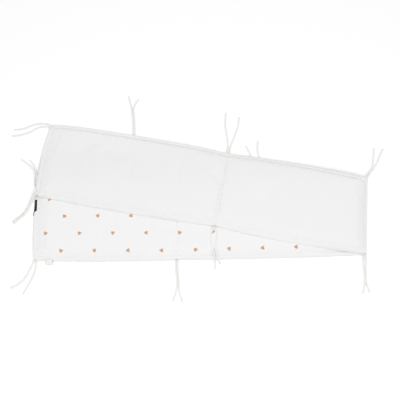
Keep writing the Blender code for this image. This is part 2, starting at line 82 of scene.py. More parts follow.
# %% [markdown]
# ## Smooth helpers
#
# Sewn cloth has no straight profile anywhere, so most shapes here are a smooth rise from a sewn line,
# plus a few gentle waves. A wave field made of a handful of sines in seeded random directions is smooth,
# has a known wavelength, and comes out the same in each run.

# %% Rises, waves and puckers


def smooth(t):
    """Smoothstep: three t squared minus two t cubed, with t held between 0 and 1."""
    t = np.clip(t, 0.0, 1.0)
    return t * t * (3.0 - 2.0 * t)


def crown(t):
    """Rise of a filling from a sewn line: one minus the square of one minus t, t between 0 and 1."""
    t = np.clip(t, 0.0, 1.0)
    return 1.0 - (1.0 - t) ** 2


def waves(x, y, wavelength, seed, count=14):
    """Sum of sines in random directions, each near one wavelength, scaled to about plus or minus 1."""
    rng = np.random.default_rng(seed)
    total = np.zeros(np.broadcast(x, y).shape)
    angles, phases = rng.uniform(0, math.pi, count), rng.uniform(0, 2 * math.pi, count)
    for angle, phase, stretch in zip(angles, phases, rng.uniform(0.7, 1.5, count)):
        turn = 2.0 * math.pi / (wavelength * stretch)
        total = total + np.sin((x * math.cos(angle) + y * math.sin(angle)) * turn + phase)
    return total / math.sqrt(count)


def ripple(a, wavelength, seed):
    """Waves along a line: the same sum of sines, read along one axis."""
    return waves(a, np.zeros_like(a), wavelength, seed, count=9)


def puckers(along, away, wavelength, reach, seed):
    """Gathers beside a sewn line: a ripple along it, times t e to the 1 - t, where t is away over reach."""
    t = np.abs(away) / reach
    return ripple(along + 0.25 * away, wavelength, seed) * t * np.exp(1.0 - t)


print("Puckers 10 mm from a seam:", puckers(np.arange(0.0, 0.05, 0.01), 0.01, 0.026, 0.010, 1).round(2))

# %% [markdown]
# ## Meshes from whole arrays
#
# A surface is a grid of points: rows along the strip and columns across it. The faces of a grid are
# simple arithmetic on point numbers, so one array holds them all. The piece also gets a map in
# metres of cloth, so that prints and weaves follow the cloth wherever it goes.

# %% Mesh helpers


def grid_faces(rows, columns, wrap_rows=False, wrap_columns=False, first=0, flip=False):
    """Four-sided faces of a grid whose point numbers run along the columns first."""
    r = np.arange(rows if wrap_rows else rows - 1)
    c = np.arange(columns if wrap_columns else columns - 1)
    r, c = (part.ravel() for part in np.meshgrid(r, c, indexing="ij"))
    after, beside = (r + 1) % rows, (c + 1) % columns
    faces = np.stack([r * columns + c, r * columns + beside,
                      after * columns + beside, after * columns + c], axis=-1) + first
    return faces[:, ::-1] if flip else faces


def make_piece(name, points, faces, cloth_map, material_numbers=None):
    """A mesh object at the origin from arrays of points and faces, with its map in metres of cloth."""
    mesh = bpy.data.meshes.new(name)
    face_list = faces if isinstance(faces, list) else faces.tolist()
    mesh.from_pydata(points.reshape(-1, 3).tolist(), [], face_list)
    mesh.polygons.foreach_set("use_smooth", np.full(len(mesh.polygons), True))
    if material_numbers is not None:
        mesh.polygons.foreach_set("material_index", material_numbers.astype(np.int32))
    corner = np.empty(len(mesh.loops), np.int32)
    mesh.loops.foreach_get("vertex_index", corner)
    layer = mesh.uv_layers.new(name="cloth")
    layer.uv.foreach_set("vector", cloth_map.reshape(-1, 2)[corner].astype(np.float32).ravel())
    mesh.update()
    return add_object(name, mesh)


def carry(path, across, up, section):
    """A closed section carried along a path: path plus section's width share times across, plus its
    height share times up. Gives a grid with a row at each path point."""
    width = section[..., 0:1] * across[:, None, :]
    height = section[..., 1:2] * up[:, None, :]
    return path[:, None, :] + width + height


def distances(path):
    """Distance along a path at each of its points."""
    steps = np.linalg.norm(np.diff(path, axis=0), axis=1)
    return np.concatenate([[0.0], np.cumsum(steps)])


def along_line(line, run, at):
    """Points of a line at the places asked for, where run says how far along each of its points is."""
    return np.stack([np.interp(at, run, line[:, axis]) for axis in range(3)], axis=-1)


def unit(vectors):
    """The same directions, with a length of one."""
    return vectors / np.linalg.norm(vectors, axis=-1, keepdims=True)


def rim(grid):
    """The edge of a grid as one ring: near edge, upper end, far edge, lower end."""
    return np.concatenate([grid[:, 0], grid[-1, 1:-1], grid[::-1, -1], grid[0, -2:0:-1]])


def outward_faces(points, faces):
    """The same faces, turned over if the volume that they enclose comes out negative."""
    a, b, c, d = (points[faces[:, k]] for k in range(4))
    volume = np.einsum("ij,ij->i", a, np.cross(b, c)) + np.einsum("ij,ij->i", a, np.cross(c, d))
    return (faces, volume.sum() / 6.0) if volume.sum() > 0 else (faces[:, ::-1], -volume.sum() / 6.0)


def closed_pair(first, second):
    """Two grids joined round their rims: the points, the faces (first grid, rim, second grid) and
    the volume inside."""
    rows, columns = first.shape[:2]
    count = rows * columns
    ring = rim(np.arange(count).reshape(rows, columns))
    after = np.roll(ring, -1)
    rim_faces = np.stack([ring, after, after + count, ring + count], axis=-1)[:, ::-1]
    faces = np.concatenate([grid_faces(rows, columns), rim_faces,
                            grid_faces(rows, columns, first=count, flip=True)])
    points = np.concatenate([first.reshape(-1, 3), second.reshape(-1, 3)])
    return points, *outward_faces(points, faces)


print("A grid of 3 by 4 points has", len(grid_faces(3, 4)), "faces")

# %% [markdown]
# ## The ties
#
# A real tie is a narrow strip of cotton, folded in on itself and stitched along its edge, so it is flat
# rather than round. It is limp: it leaves the binding, drops to the ground within a few centimetres, and
# wanders. Each route below is a few listed points, and a smooth curve is read from them
# (Catmull and Rom's: between two points, the slope at each is that of the line through its neighbours).
# Straight runs and arcs would look like bent wire.

# %% Routes of the ties, in metres, from the binding to the bare end
GROUND = 0.0038  # height of a strand's middle on the ground; a point without a height lies there
LYING = 0.0268  # and on the lower layer
TIE_WIDTH = 0.0082
TIE_THICKNESS = 0.0036
TIE_POINTS = {
    "tie_upper_end_far_a": (
        (-0.7939, 0.3736, 0.0043), (-0.803, 0.3823), (-0.820, 0.3893), (-0.850, 0.3933),
        (-0.885, 0.3903), (-0.915, 0.3793), (-0.943, 0.3673), (-0.972, 0.3603), (-1.001, 0.3563)),
    "tie_upper_end_far_b": (
        (-0.8024, 0.3659, 0.0043), (-0.812, 0.3713), (-0.830, 0.3758), (-0.863, 0.3733),
        (-0.885, 0.3633), (-0.904, 0.3503), (-0.930, 0.3383), (-0.956, 0.3303), (-0.985, 0.3243),
        (-1.009, 0.3213)),
    "tie_upper_long_far_a": (
        (-0.3656, 0.3228, 0.0043), (-0.3645, 0.3383), (-0.3655, 0.3733), (-0.3675, 0.4133),
        (-0.372, 0.4483), (-0.3765, 0.4783), (-0.3845, 0.5133), (-0.395, 0.5553)),
    "tie_upper_long_far_b": (
        (-0.3570, 0.3214, 0.0043), (-0.3560, 0.3383), (-0.357, 0.3733), (-0.359, 0.4133),
        (-0.3632, 0.4483), (-0.366, 0.4783), (-0.359, 0.5033), (-0.340, 0.5343)),
    "tie_upper_seam_far_a": (
        (0.1338, 0.2151, 0.0116), (0.135, 0.2303, 0.0100), (0.138, 0.2533, 0.0058), (0.140, 0.2803),
        (0.136, 0.3183), (0.131, 0.3533), (0.127, 0.3783), (0.128, 0.4133), (0.132, 0.4543)),
    "tie_upper_seam_far_b": (
        (0.1424, 0.2135, 0.0116), (0.146, 0.2303, 0.0100), (0.152, 0.2533, 0.0058), (0.160, 0.2803),
        (0.171, 0.3083), (0.182, 0.3383), (0.193, 0.3683), (0.199, 0.4003), (0.202, 0.4313)),
    "tie_fold_far_a": (
        (0.8568, 0.0797, 0.0142), (0.859, 0.0923, 0.0128), (0.868, 0.1063, 0.0104),
        (0.882, 0.1210, 0.0062), (0.892, 0.1363), (0.900, 0.1583), (0.905, 0.1833), (0.910, 0.2183),
        (0.914, 0.2533)),
    "tie_fold_far_b": (
        (0.8613, 0.0798, 0.0056), (0.867, 0.0903, 0.0045), (0.878, 0.1043), (0.893, 0.1233),
        (0.910, 0.1463), (0.925, 0.1733), (0.941, 0.2083), (0.951, 0.2283), (0.961, 0.2473)),
    "tie_fold_near_a": (
        (0.8296, -0.3259, 0.0122), (0.8305, -0.3417, 0.0092), (0.830, -0.3617, 0.0048),
        (0.829, -0.3867), (0.827, -0.4137, 0.0056), (0.8245, -0.4367, 0.0110),
        (0.8215, -0.4547, 0.0122), (0.8175, -0.4727, 0.0096), (0.8135, -0.4917, 0.0052),
        (0.808, -0.5117), (0.805, -0.5247)),
    "tie_fold_near_b": (
        (0.8196, -0.3276, 0.0043), (0.8175, -0.3437), (0.8165, -0.3717), (0.8175, -0.4057),
        (0.820, -0.4317), (0.8235, -0.4547), (0.829, -0.4817), (0.835, -0.5037), (0.840, -0.5217)),
    "tie_upper_seam_near_a": (
        (0.0598, -0.1854, 0.0302), (0.0553, -0.1997, 0.0290), (0.050, -0.2237, 0.0272),
        (0.048, -0.2537, LYING), (0.053, -0.2837, 0.0270), (0.058, -0.3037, 0.0272),
        (0.061, -0.3177, 0.0256), (0.063, -0.3307, 0.0205), (0.0645, -0.3417, 0.0150),
        (0.066, -0.3527, 0.0112), (0.067, -0.3647, 0.0062), (0.068, -0.3817), (0.069, -0.4007)),
    "tie_upper_seam_near_b": (
        (0.0687, -0.1882, 0.0302), (0.0745, -0.2007, 0.0290), (0.079, -0.2197, 0.0272),
        (0.077, -0.2437, LYING), (0.073, -0.2697, LYING), (0.071, -0.2917, 0.0270),
        (0.0715, -0.3057, 0.0272), (0.0735, -0.3197, 0.0252), (0.077, -0.3317, 0.0200),
        (0.081, -0.3427, 0.0148), (0.086, -0.3537, 0.0108), (0.091, -0.3637, 0.0062), (0.095, -0.3737)),
    "tie_lower_seam_near_a": (
        (-0.1288, -0.3529, 0.0043), (-0.1298, -0.3667), (-0.1295, -0.3917), (-0.1265, -0.4217),
        (-0.1225, -0.4567), (-0.1225, -0.4867), (-0.128, -0.5167), (-0.136, -0.5417),
        (-0.142, -0.5627)),
    "tie_lower_seam_near_b": (
        (-0.1200, -0.3520, 0.0043), (-0.1210, -0.3667), (-0.1208, -0.3917), (-0.118, -0.4217),
        (-0.1137, -0.4567), (-0.1132, -0.4867), (-0.110, -0.5167), (-0.103, -0.5437),
        (-0.097, -0.5677)),
    "tie_lower_end_near_a": (
        (-0.8455, -0.3509, 0.0043), (-0.850, -0.3597), (-0.856, -0.3777), (-0.865, -0.4017),
        (-0.878, -0.4297), (-0.894, -0.4537), (-0.912, -0.4717), (-0.934, -0.4857), (-0.957, -0.4967)),
    "tie_lower_end_near_b": (
        (-0.8348, -0.3575, 0.0043), (-0.836, -0.3687), (-0.837, -0.3867), (-0.840, -0.4117),
        (-0.848, -0.4377), (-0.858, -0.4617), (-0.870, -0.4857), (-0.881, -0.5067), (-0.890, -0.5277)),
    "tie_upper_end_near_a": (
        (-0.8546, 0.0031, 0.0280), (-0.861, 0.0003, 0.0268), (-0.869, -0.0067, 0.0215),
        (-0.878, -0.0187, 0.0128), (-0.886, -0.0337, 0.0062), (-0.893, -0.0517), (-0.901, -0.0717),
        (-0.912, -0.0937), (-0.930, -0.1157), (-0.952, -0.1347), (-0.973, -0.1547)),
    "tie_upper_end_near_b": (
        (-0.8510, -0.0091, 0.0283), (-0.858, -0.0127, 0.0268), (-0.8655, -0.0207, 0.0218),
        (-0.874, -0.0327, 0.0130), (-0.8795, -0.0467, 0.0062), (-0.885, -0.0627), (-0.893, -0.0817),
        (-0.904, -0.1017), (-0.923, -0.1237), (-0.945, -0.1427), (-0.966, -0.1627)),
    "tie_lower_end_far_a": (
        (-0.8605, 0.0350, 0.0043), (-0.868, 0.0433), (-0.872, 0.0583), (-0.873, 0.0833),
        (-0.875, 0.1083), (-0.883, 0.1303), (-0.901, 0.1513), (-0.926, 0.1713), (-0.951, 0.1903)),
    "tie_lower_end_far_b": (
        (-0.8530, 0.0434, 0.0043), (-0.858, 0.0523), (-0.8625, 0.0643), (-0.864, 0.0863),
        (-0.866, 0.1113), (-0.873, 0.1363), (-0.884, 0.1563), (-0.894, 0.1713), (-0.904, 0.1853)),
    "tie_lower_long_far_a": (
        (0.3455, 0.0733, 0.0043), (0.343, 0.0883), (0.332, 0.1133), (0.312, 0.1433), (0.287, 0.1763),
        (0.262, 0.2083), (0.248, 0.2363), (0.236, 0.2643)),
    "tie_lower_long_far_b": (
        (0.3545, 0.0736, 0.0043), (0.353, 0.0883), (0.345, 0.1163), (0.330, 0.1503), (0.312, 0.1863),
        (0.299, 0.2203), (0.296, 0.2533), (0.300, 0.2923)),
    "tie_lower_seam_far_a": (
        (-0.1358, 0.0541, 0.0043), (-0.137, 0.0663), (-0.146, 0.0823), (-0.165, 0.0943),
        (-0.195, 0.1003), (-0.225, 0.1013), (-0.255, 0.1003), (-0.280, 0.0983), (-0.300, 0.0973)),
    "tie_lower_seam_far_b": (
        (-0.1266, 0.0541, 0.0043), (-0.125, 0.0663), (-0.116, 0.0823), (-0.097, 0.0943),
        (-0.067, 0.1013), (-0.037, 0.1043), (-0.010, 0.1053), (0.015, 0.1053), (0.036, 0.1043)),
}
TIE_ROUTES = {name: [(*point, GROUND)[:3] for point in points] for name, points in TIE_POINTS.items()}
print(len(TIE_ROUTES), "strands, in pairs")

# %% [markdown]
# The section of a strand is a flattened oval, a little thicker at one side where its edges are folded
# in and stitched. It is carried along the curve with its width kept level, because a flat tape lies
# down on its face. The strand rolls by a few degrees on its way, and ends in a cut that is pinched flat.
# It is thinner than the plain round strand, so it lies a little lower once it has left the binding.

# %% Make the strands
TIE_STEP = 0.003
TIE_SIDES = 14
TIE_DROP = 0.0017
TIE_ROLL = 0.16
TIE_SWELL = 0.06
PINCH = 0.45
PINCH_REACH = 0.004


def smooth_route(route, step):
    """Evenly spaced points on Catmull and Rom's curve through the route's own points."""
    points = np.array(route)
    padded = np.vstack([2.0 * points[0] - points[1], points, 2.0 * points[-1] - points[-2]])
    t = np.linspace(0.0, 1.0, 20, endpoint=False)[:, None]
    a, b, c, d = (padded[k:len(padded) - 3 + k, None] for k in range(4))
    fine = b + 0.5 * t * (c - a + t * (2 * a - 5 * b + 4 * c - d + t * (3 * (b - c) + d - a)))
    fine = np.vstack([fine.reshape(-1, 3), points[-1:]])
    length = distances(fine)
    even = np.linspace(0.0, length[-1], math.ceil(length[-1] / step) + 1)
    return along_line(fine, length, even)


def tape_section(sides, width, thickness):
    """Flattened oval: width times cos over 2, and thickness times sin over 2 to a power below one."""
    angle = np.linspace(0.0, 2.0 * math.pi, sides, endpoint=False)
    across = np.cos(angle) * width / 2.0
    rise = np.sign(np.sin(angle)) * np.abs(np.sin(angle)) ** 0.7 * thickness / 2.0
    return np.stack([across, rise * (1.0 + 0.22 * np.cos(angle))], axis=-1)


def level_frame(path, roll):
    """Across and up directions along a path: across is level and square to the path, then both are
    turned round the path by roll."""
    ahead = unit(np.gradient(path, axis=0))
    across = unit(np.stack([ahead[:, 1], -ahead[:, 0], np.zeros(len(path))], axis=-1))
    up = np.cross(across, ahead)
    turn = roll[:, None]
    return across * np.cos(turn) + up * np.sin(turn), up * np.cos(turn) - across * np.sin(turn)


def make_tie(name, route, seed):
    """One strand: an oval section along its curve, which rolls, swells a little and ends pinched."""
    path = smooth_route(route, TIE_STEP)
    run = distances(path)
    path[:, 2] -= TIE_DROP * smooth(run / 0.02)
    across, up = level_frame(path, TIE_ROLL * ripple(run, 0.09, seed) * smooth(run / 0.03))
    swell = 1.0 + TIE_SWELL * ripple(run, 0.025, seed + 50)
    flat = 1.0 - PINCH * np.exp(-((run[-1] - run) / PINCH_REACH) ** 2)
    sides, rows = TIE_SIDES, len(path)
    section = tape_section(sides, TIE_WIDTH, TIE_THICKNESS)[None] * np.stack([swell, flat], axis=-1)[:, None]
    tube = carry(path, across, up, section)
    points = np.concatenate([tube.reshape(-1, 3), path[[0, -1]]])
    faces = grid_faces(rows, sides, wrap_columns=True).tolist()
    first, last = rows * sides, rows * sides + 1
    for k in range(sides):
        after = (k + 1) % sides
        faces.append([first, after, k])
        faces.append([last, (rows - 1) * sides + k, (rows - 1) * sides + after])
    along = np.repeat(run, sides)
    round_it = np.tile(np.linspace(0.0, 2.1 * TIE_WIDTH, sides, endpoint=False), rows)
    cloth_map = np.stack([along, round_it], axis=-1)
    cloth_map = np.concatenate([cloth_map, [[0.0, 0.0], [run[-1], 0.0]]])
    return make_piece(name, points, faces, cloth_map), path, run[-1]


tie_pieces = []
for number, (name, route) in enumerate(TIE_ROUTES.items()):
    tie, path, length = make_tie(name + "_strand", route, 100 + number)
    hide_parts(name)
    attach(tie, "root")
    tie_pieces.append(tie)
print("The last strand is", round(length, 3), "metres long")

# %% [markdown]
# ## The strip in plan
#
# Folded cloth lies in layers. Each layer here is a map from two numbers to a place on the ground: s, the
# distance from the fold, and v, the place across the strip from -1 (near) to 1 (far). The centre line
# bends a little at the seam, and the edges bow out in each panel and are nipped in at the seams.
# Both layers use the same rules with other numbers. A panel's numbers are its length, the way its centre
# line heads in degrees, and how far its near and its far edge bow out. The upper layer's far edge
# hangs free, so it lies fuller (its bow is nearly the same all along a panel) and spreads a little.

# %% Sizes of the strip, in metres
LONG_PANEL = 0.95
SHORT_PANEL = 0.75
STRIP_HEIGHT = 0.41
CORNER_RADIUS = 0.035
PAD_CROWN = 0.022
PAD_EDGE = 0.007
BINDING_WIDTH = 0.018
HALF_PAD = STRIP_HEIGHT / 2.0 - BINDING_WIDTH
LAYER_GAP = 0.003
SEAT_GAP = 0.0003
EDGE_LIFT = 0.0008
FOLD_LEAN = math.radians(4.7)
FAN_SLANT = math.tan(math.radians(6.05))
FOLD_PLACE = np.array([0.84177, -0.12278])
KINK_REACH = 0.05  # half the length over which a seam bends the strip
SLANT_REACH = 0.30  # from the fold's slant to square cross lines
END_BOW_REACH = 0.25
SPREAD_REACH = 0.5
NIP_DEPTH = 0.004
NIP_REACH = 0.016
NEAR, FAR = 2, 3  # where a panel's numbers have its near and its far bow
LOWER = {
    "panels": ((LONG_PANEL + 0.020, 1.6, 0.004, 0.004), (SHORT_PANEL - 0.018, 0.3, 0.005, 0.005)),
    "slant": -FAN_SLANT, "bow": 0.005, "lead": 0.006, "dip": 0.22, "spread": 0.0, "fuller": 0.0}
UPPER = {
    "panels": ((SHORT_PANEL + 0.003, -10.5, 0.014, 0.009), (LONG_PANEL + 0.003, -10.0, 0.0095, 0.017)),
    "slant": FAN_SLANT, "bow": 0.016, "lead": 0.018, "dip": 0.58, "spread": 0.010, "fuller": 1.0}
for layer in (LOWER, UPPER):
    layer["seam"] = layer["panels"][0][0]
    layer["length"] = layer["seam"] + layer["panels"][1][0]
print("The layers are", round(LOWER["length"], 3), "and", round(UPPER["length"], 3), "metres long")

# %% [markdown]
# ## Where a point of the strip lies
#
# Each layer of the real bumper is a strip of panels that turns a little at its seam, bows along its edges
# and is nipped in where it is sewn. A curve with a modifier could bend a straight strip. A formula from
# metres along the strip and the place across it to the ground was chosen, because every later piece, from
# the binding to the stitches, can then be asked where it belongs.

# %% Place of any point of a layer on the ground


def heading(layer, s):
    """Direction of the centre line: the first panel's, then the second's, blended across the seam."""
    turn = smooth((s - layer["seam"] + KINK_REACH) / (2.0 * KINK_REACH))
    first, second = layer["panels"][0][1], layer["panels"][1][1]
    return np.radians(first + (second - first) * turn)


def centre_line(layer, s):
    """Sum of short steps along the heading, from the fold."""
    steps = np.linspace(0.0, layer["length"], 400)
    turn = heading(layer, steps)
    step = steps[1]
    x = FOLD_PLACE[0] + np.concatenate([[0.0], np.cumsum(-np.cos(turn) * step)[:-1]])
    y = FOLD_PLACE[1] + np.concatenate([[0.0], np.cumsum(-np.sin(turn) * step)[:-1]])
    return np.stack([np.interp(s, steps, x), np.interp(s, steps, y)], axis=-1)


def edge(layer, s, side):
    """Half the strip's height, plus each panel's bow times a shape, less a bell at each seam. The shape is
    a sine's half wave, and the fuller one is one less the fourth power of 2 t - 1."""
    first = np.clip(s / layer["seam"], 0.0, 1.0)
    second = np.clip((s - layer["seam"]) / (layer["length"] - layer["seam"]), 0.0, 1.0)
    part = np.where(first < 1.0, first, second)
    bow = np.where(first < 1.0, layer["panels"][0][side], layer["panels"][1][side])
    fuller = layer["fuller"] if side == FAR else 0.0
    shape = np.sin(math.pi * part) * (1.0 - fuller) + (1.0 - (2.0 * part - 1.0) ** 4) * fuller
    spread = layer["spread"] * smooth(s / SPREAD_REACH) if side == FAR else 0.0
    nip = np.exp(-((s - layer["seam"]) / NIP_REACH) ** 2) + np.exp(-(s / NIP_REACH) ** 2)
    return STRIP_HEIGHT / 2.0 + bow * shape + spread - NIP_DEPTH * nip


def corner_cut(layer, s):
    """How far a round corner has drawn in: radius less the root of radius squared less past squared."""
    radius = CORNER_RADIUS - BINDING_WIDTH
    past = np.clip(s - (layer["length"] - CORNER_RADIUS), 0.0, radius)
    return radius - np.sqrt(np.maximum(radius ** 2 - past ** 2, 0.0))


def cross_offset(layer, s, v):
    """Signed distance from the centre line of the pad at v, between its two sewn edges."""
    inset = BINDING_WIDTH + SEAT_GAP + corner_cut(layer, s)
    near, far = edge(layer, s, NEAR) - inset, edge(layer, s, FAR) - inset
    return (far - near) / 2.0 + v * (far + near) / 2.0


def plan(layer, s, v):
    """Centre line plus the offset across it, plus a share of that offset forward near the fold, which
    lies at a slant, plus the free end's bow."""
    turn = heading(layer, s)
    along = np.stack([-np.cos(turn), -np.sin(turn)], axis=-1)
    across = np.stack([-np.sin(turn), np.cos(turn)], axis=-1)
    offset = cross_offset(layer, s, v)
    slant = layer["slant"] * (1.0 - smooth(s / SLANT_REACH))
    end = smooth((s - layer["length"] + END_BOW_REACH) / END_BOW_REACH)
    forward = offset * slant + (layer["bow"] * (1.0 - v ** 2) + layer["lead"] * v / 2.0) * end
    return centre_line(layer, s) + across * offset[..., None] + along * forward[..., None]


print("The lower free end's middle is at", plan(LOWER, np.array(LOWER["length"]), np.array(0.0)).round(3))

# %% [markdown]
# ## How the filling rises, and how the upper layer drapes
#
# Wadding is stiff enough to make a flat-topped panel: it rises quickly beside whatever holds it down, and
# then stays level. So the thickness is a product of rises, one from each sewn line. The far side rises
# more steeply than the near one. The upper layer
# then lies on the lower one: its underside keeps a small gap over the lower crown, sinks over the
# lower free end, and comes down to the ground past the far edge.

# %% Thickness and drape
NEAR_REACH = 0.044  # from the near sewn edge to the full crown, and so on
FAR_REACH = 0.018
END_REACH = 0.052
SEAM_REACH = 0.014
FOLD_REACH = 0.050
SEWN_IN = 0.0030  # how far in from its edge the pad is stitched
FALL_REACH = 0.22  # how far past the lower layer the upper one takes to come down
FALL_START = 0.04  # how far inside the lower layer's far edge it starts to
END_SAG = 0.40  # share of its height that the upper layer gives up over the lower free end
END_SAG_REACH = 0.060
DRAPE_START = 0.010
DRAPE_REACH = 0.045
FOLD_SETTLE = 0.10  # how far from the fold the layers are held together by it


def pad_length(layer):
    """Length of a layer's pad, from the fold to its sewn end."""
    return layer["length"] - BINDING_WIDTH


def from_edges(layer, s, v):
    """Distance in metres from the pad's near or far sewn edge, and from its free end."""
    return (1.0 - np.abs(v)) * HALF_PAD, pad_length(layer) - s


def fullness(layer, s, v):
    """Product of the rises from the edges, the free end, the sewn channel and the fold, from 0 to 1."""
    side, end = from_edges(layer, s, v)
    channel = 1.0 - layer["dip"] * (1.0 - crown(np.abs(s - layer["seam"]) / SEAM_REACH))
    side_reach = np.where(v > 0.0, FAR_REACH, NEAR_REACH)
    rise = crown((side - SEWN_IN) / side_reach) * crown((end - SEWN_IN) / END_REACH)
    return rise * channel * crown(s / FOLD_REACH)


def edge_lift(layer, s, v):
    """The sewn edge stands a little above what the layer lies on."""
    side, end = from_edges(layer, s, v)
    return EDGE_LIFT * (1.0 - np.clip(np.minimum(side, end) / 0.006, 0.0, 1.0))


def drape_height(place, s):
    """Height of the upper layer's underside over a place on the ground, s from the fold."""
    steps = np.linspace(0.0, LOWER["length"], 400)
    line = centre_line(LOWER, steps)
    below = np.interp(-place[..., 0], -line[:, 0], steps)
    across = place[..., 1] - np.interp(below, steps, line[:, 1])
    near = edge(LOWER, below, NEAR) + across - BINDING_WIDTH
    far = edge(LOWER, below, FAR) - across
    rise = crown(s / FOLD_REACH) * crown((near + DRAPE_START) / DRAPE_REACH)
    rise = rise * (1.0 - END_SAG * (1.0 - crown((LOWER["length"] - below) / END_SAG_REACH)))
    full = LAYER_GAP + EDGE_LIFT + PAD_EDGE + (PAD_CROWN - PAD_EDGE) * rise
    fall = smooth((far + FALL_REACH) / (FALL_REACH + FALL_START))
    return full * (1.0 - (1.0 - fall) * smooth(s / FOLD_SETTLE))


inward = np.array([0.010, 0.020, 0.040])
print("10, 20 and 40 mm in from the near edge, a panel has these shares of its crown:",
      fullness(UPPER, 0.4, inward / HALF_PAD - 1.0).round(2))

# %% [markdown]
# ## The small relief of sewn cloth
#
# Three things break up a padded panel. Long low swells come from uneven wadding. Short gathers
# stand beside every sewn line, because the thread takes up cloth there. And faint creases are left from
# packing. Each is a smooth field with its own wavelength, and all fade to nothing at the stitches.

# %% Relief of the cloth
GATHER = 0.0006
GATHER_WAVE = 0.026
GATHER_REACH = 0.010
CHANNEL_WAVE = 0.024
CHANNEL_REACH = 0.012
LONG_SWELL = 0.0008
SHORT_SWELL = 0.0003
CREASE = 0.00012


def relief(layer, s, v, seed):
    """Height of swells, gathers and faint creases over the plain panel, in metres."""
    side, end = from_edges(layer, s, v)
    offset = cross_offset(layer, s, v)
    full = fullness(layer, s, v)
    swell = LONG_SWELL * waves(s, offset, 0.26, seed) + SHORT_SWELL * waves(s, offset, 0.10, seed + 1)
    crease = CREASE * waves(s, offset, 0.028, seed + 2) * smooth(waves(s, offset, 0.19, seed + 3) - 0.1)
    low_side = GATHER * puckers(s, side - SEWN_IN, GATHER_WAVE, GATHER_REACH, seed + 4)
    low_end = GATHER * puckers(offset, end - SEWN_IN, GATHER_WAVE, GATHER_REACH, seed + 5)
    strong = 1.0 + 0.9 * np.exp(-(side / 0.05) ** 2)
    strong = strong * layer["dip"] / UPPER["dip"]
    channel = GATHER * strong * puckers(offset, s - layer["seam"], CHANNEL_WAVE, CHANNEL_REACH, seed + 6)
    inside = smooth((side - SEWN_IN) / 0.004) * smooth((end - SEWN_IN) / 0.004)
    gathers = (low_side + low_end) * smooth(s / 0.03) + channel
    return swell * full + (crease + gathers) * inside


sampled = relief(UPPER, np.linspace(0.2, 1.5, 200), np.zeros(200), 31) * 1000
print("Along its middle the upper layer's relief is from", sampled.min().round(2), "to",
      sampled.max().round(2), "millimetres")

# %% [markdown]
# ## The pad
#
# The pad is one closed surface: the back cloth, which is outside the fold, and the printed front
# cloth, which is inside it, joined round the rim. Each is one grid that runs along the lower layer, round
# the fold, and back along the upper layer. The rows are closer together where the shape changes
# fast: their spacing is graded, by taking even steps in the sum of one over the wanted spacing.

# %% Grids of the two cloths
BEND_ROWS = 12
PAD_SPACING = 0.0068
FOLD_DIP = 0.10  # share of the fold's radius that its stitches draw in
FOLD_DIP_ANGLE = 0.35


def graded(start, end, spacing, places):
    """Steps that are even in the sum of one over the spacing; each place has its own finer spacing."""
    fine = np.linspace(start, end, 4000)
    density = np.full(fine.shape, 1.0 / spacing)
    for place, reach, step in places:
        density = density + (1.0 / step - 1.0 / spacing) * np.exp(-((fine - place) / reach) ** 2)
    total = np.concatenate([[0.0], np.cumsum((density[1:] + density[:-1]) / 2.0 * (fine[1] - fine[0]))])
    return np.interp(np.linspace(0.0, total[-1], math.ceil(total[-1]) + 1), total, fine)


def layer_grid(layer):
    """The s and v of a layer's grid. Each sewn line has the reach and the step of its finer spacing."""
    length = pad_length(layer)
    s = graded(0.0, length, PAD_SPACING,
               ((layer["seam"], 0.022, 0.0022), (0.0, 0.03, 0.004), (length, 0.03, 0.003)))
    w = graded(-HALF_PAD, HALF_PAD, PAD_SPACING, ((-HALF_PAD, 0.022, 0.0022), (HALF_PAD, 0.022, 0.0022)))
    return np.meshgrid(s, w / HALF_PAD, indexing="ij")


def join_round_fold(low, high):
    """Half circles from one row of points to the row above it, dipped at the fold's own stitches."""
    middle, radius = (low + high) / 2.0, (high[:, 2] - low[:, 2]) / 2.0
    outward = np.array([math.cos(FOLD_LEAN), -math.sin(FOLD_LEAN), 0.0])
    angle = np.linspace(-math.pi / 2.0, math.pi / 2.0, BEND_ROWS + 1)[1:-1]
    dip = 1.0 - FOLD_DIP * np.exp(-(angle / FOLD_DIP_ANGLE) ** 2)
    out = outward * (radius[None, :] * (np.cos(angle) * dip)[:, None])[..., None]
    lift = np.array([0.0, 0.0, 1.0]) * (radius[None, :] * (np.sin(angle) * dip)[:, None])[..., None]
    return middle[None] + out + lift


def lift_to(place, z):
    """Points over places on the ground, at the heights z."""
    return np.concatenate([place, z[..., None]], axis=-1)


low_s, low_v = layer_grid(LOWER)
up_s, up_v = layer_grid(UPPER)
low_place, up_place = plan(LOWER, low_s, low_v), plan(UPPER, up_s, up_v)
low_bottom = edge_lift(LOWER, low_s, low_v)
low_top = low_bottom + PAD_EDGE + (PAD_CROWN - PAD_EDGE) * fullness(LOWER, low_s, low_v)
low_top = low_top + relief(LOWER, low_s, low_v, 11)
up_bottom = drape_height(up_place, up_s) + edge_lift(UPPER, up_s, up_v) * smooth(up_s / FOLD_SETTLE)
up_top = up_bottom + PAD_EDGE + (PAD_CROWN - PAD_EDGE) * fullness(UPPER, up_s, up_v)
up_top = up_top + relief(UPPER, up_s, up_v, 31)
print("The lower layer's top is between", low_top.min().round(4), "and", low_top.max().round(4), "metres")

# %% [markdown]
# ## Letting the filling push
#
# Rules alone make cloth that is too regular. Real cloth is cut a little longer than the line that
# it is sewn to, so the filling pushes it out unevenly and it buckles beside the stitches. Blender's own
# Cloth does this well. A copy of each layer's top is held still along its sewn lines, grows by a
# little over one percent, and is pushed out by a small pressure without gravity. The height that
# each point has gained is held under a limit and added to the surface. The undersides stay as they are,
# because they lie on something.

# %% Run the cloth
PUSH = 0.35
GROWTH = 0.012
PUSH_FRAMES = 12
PUSH_LIMIT = 0.0030


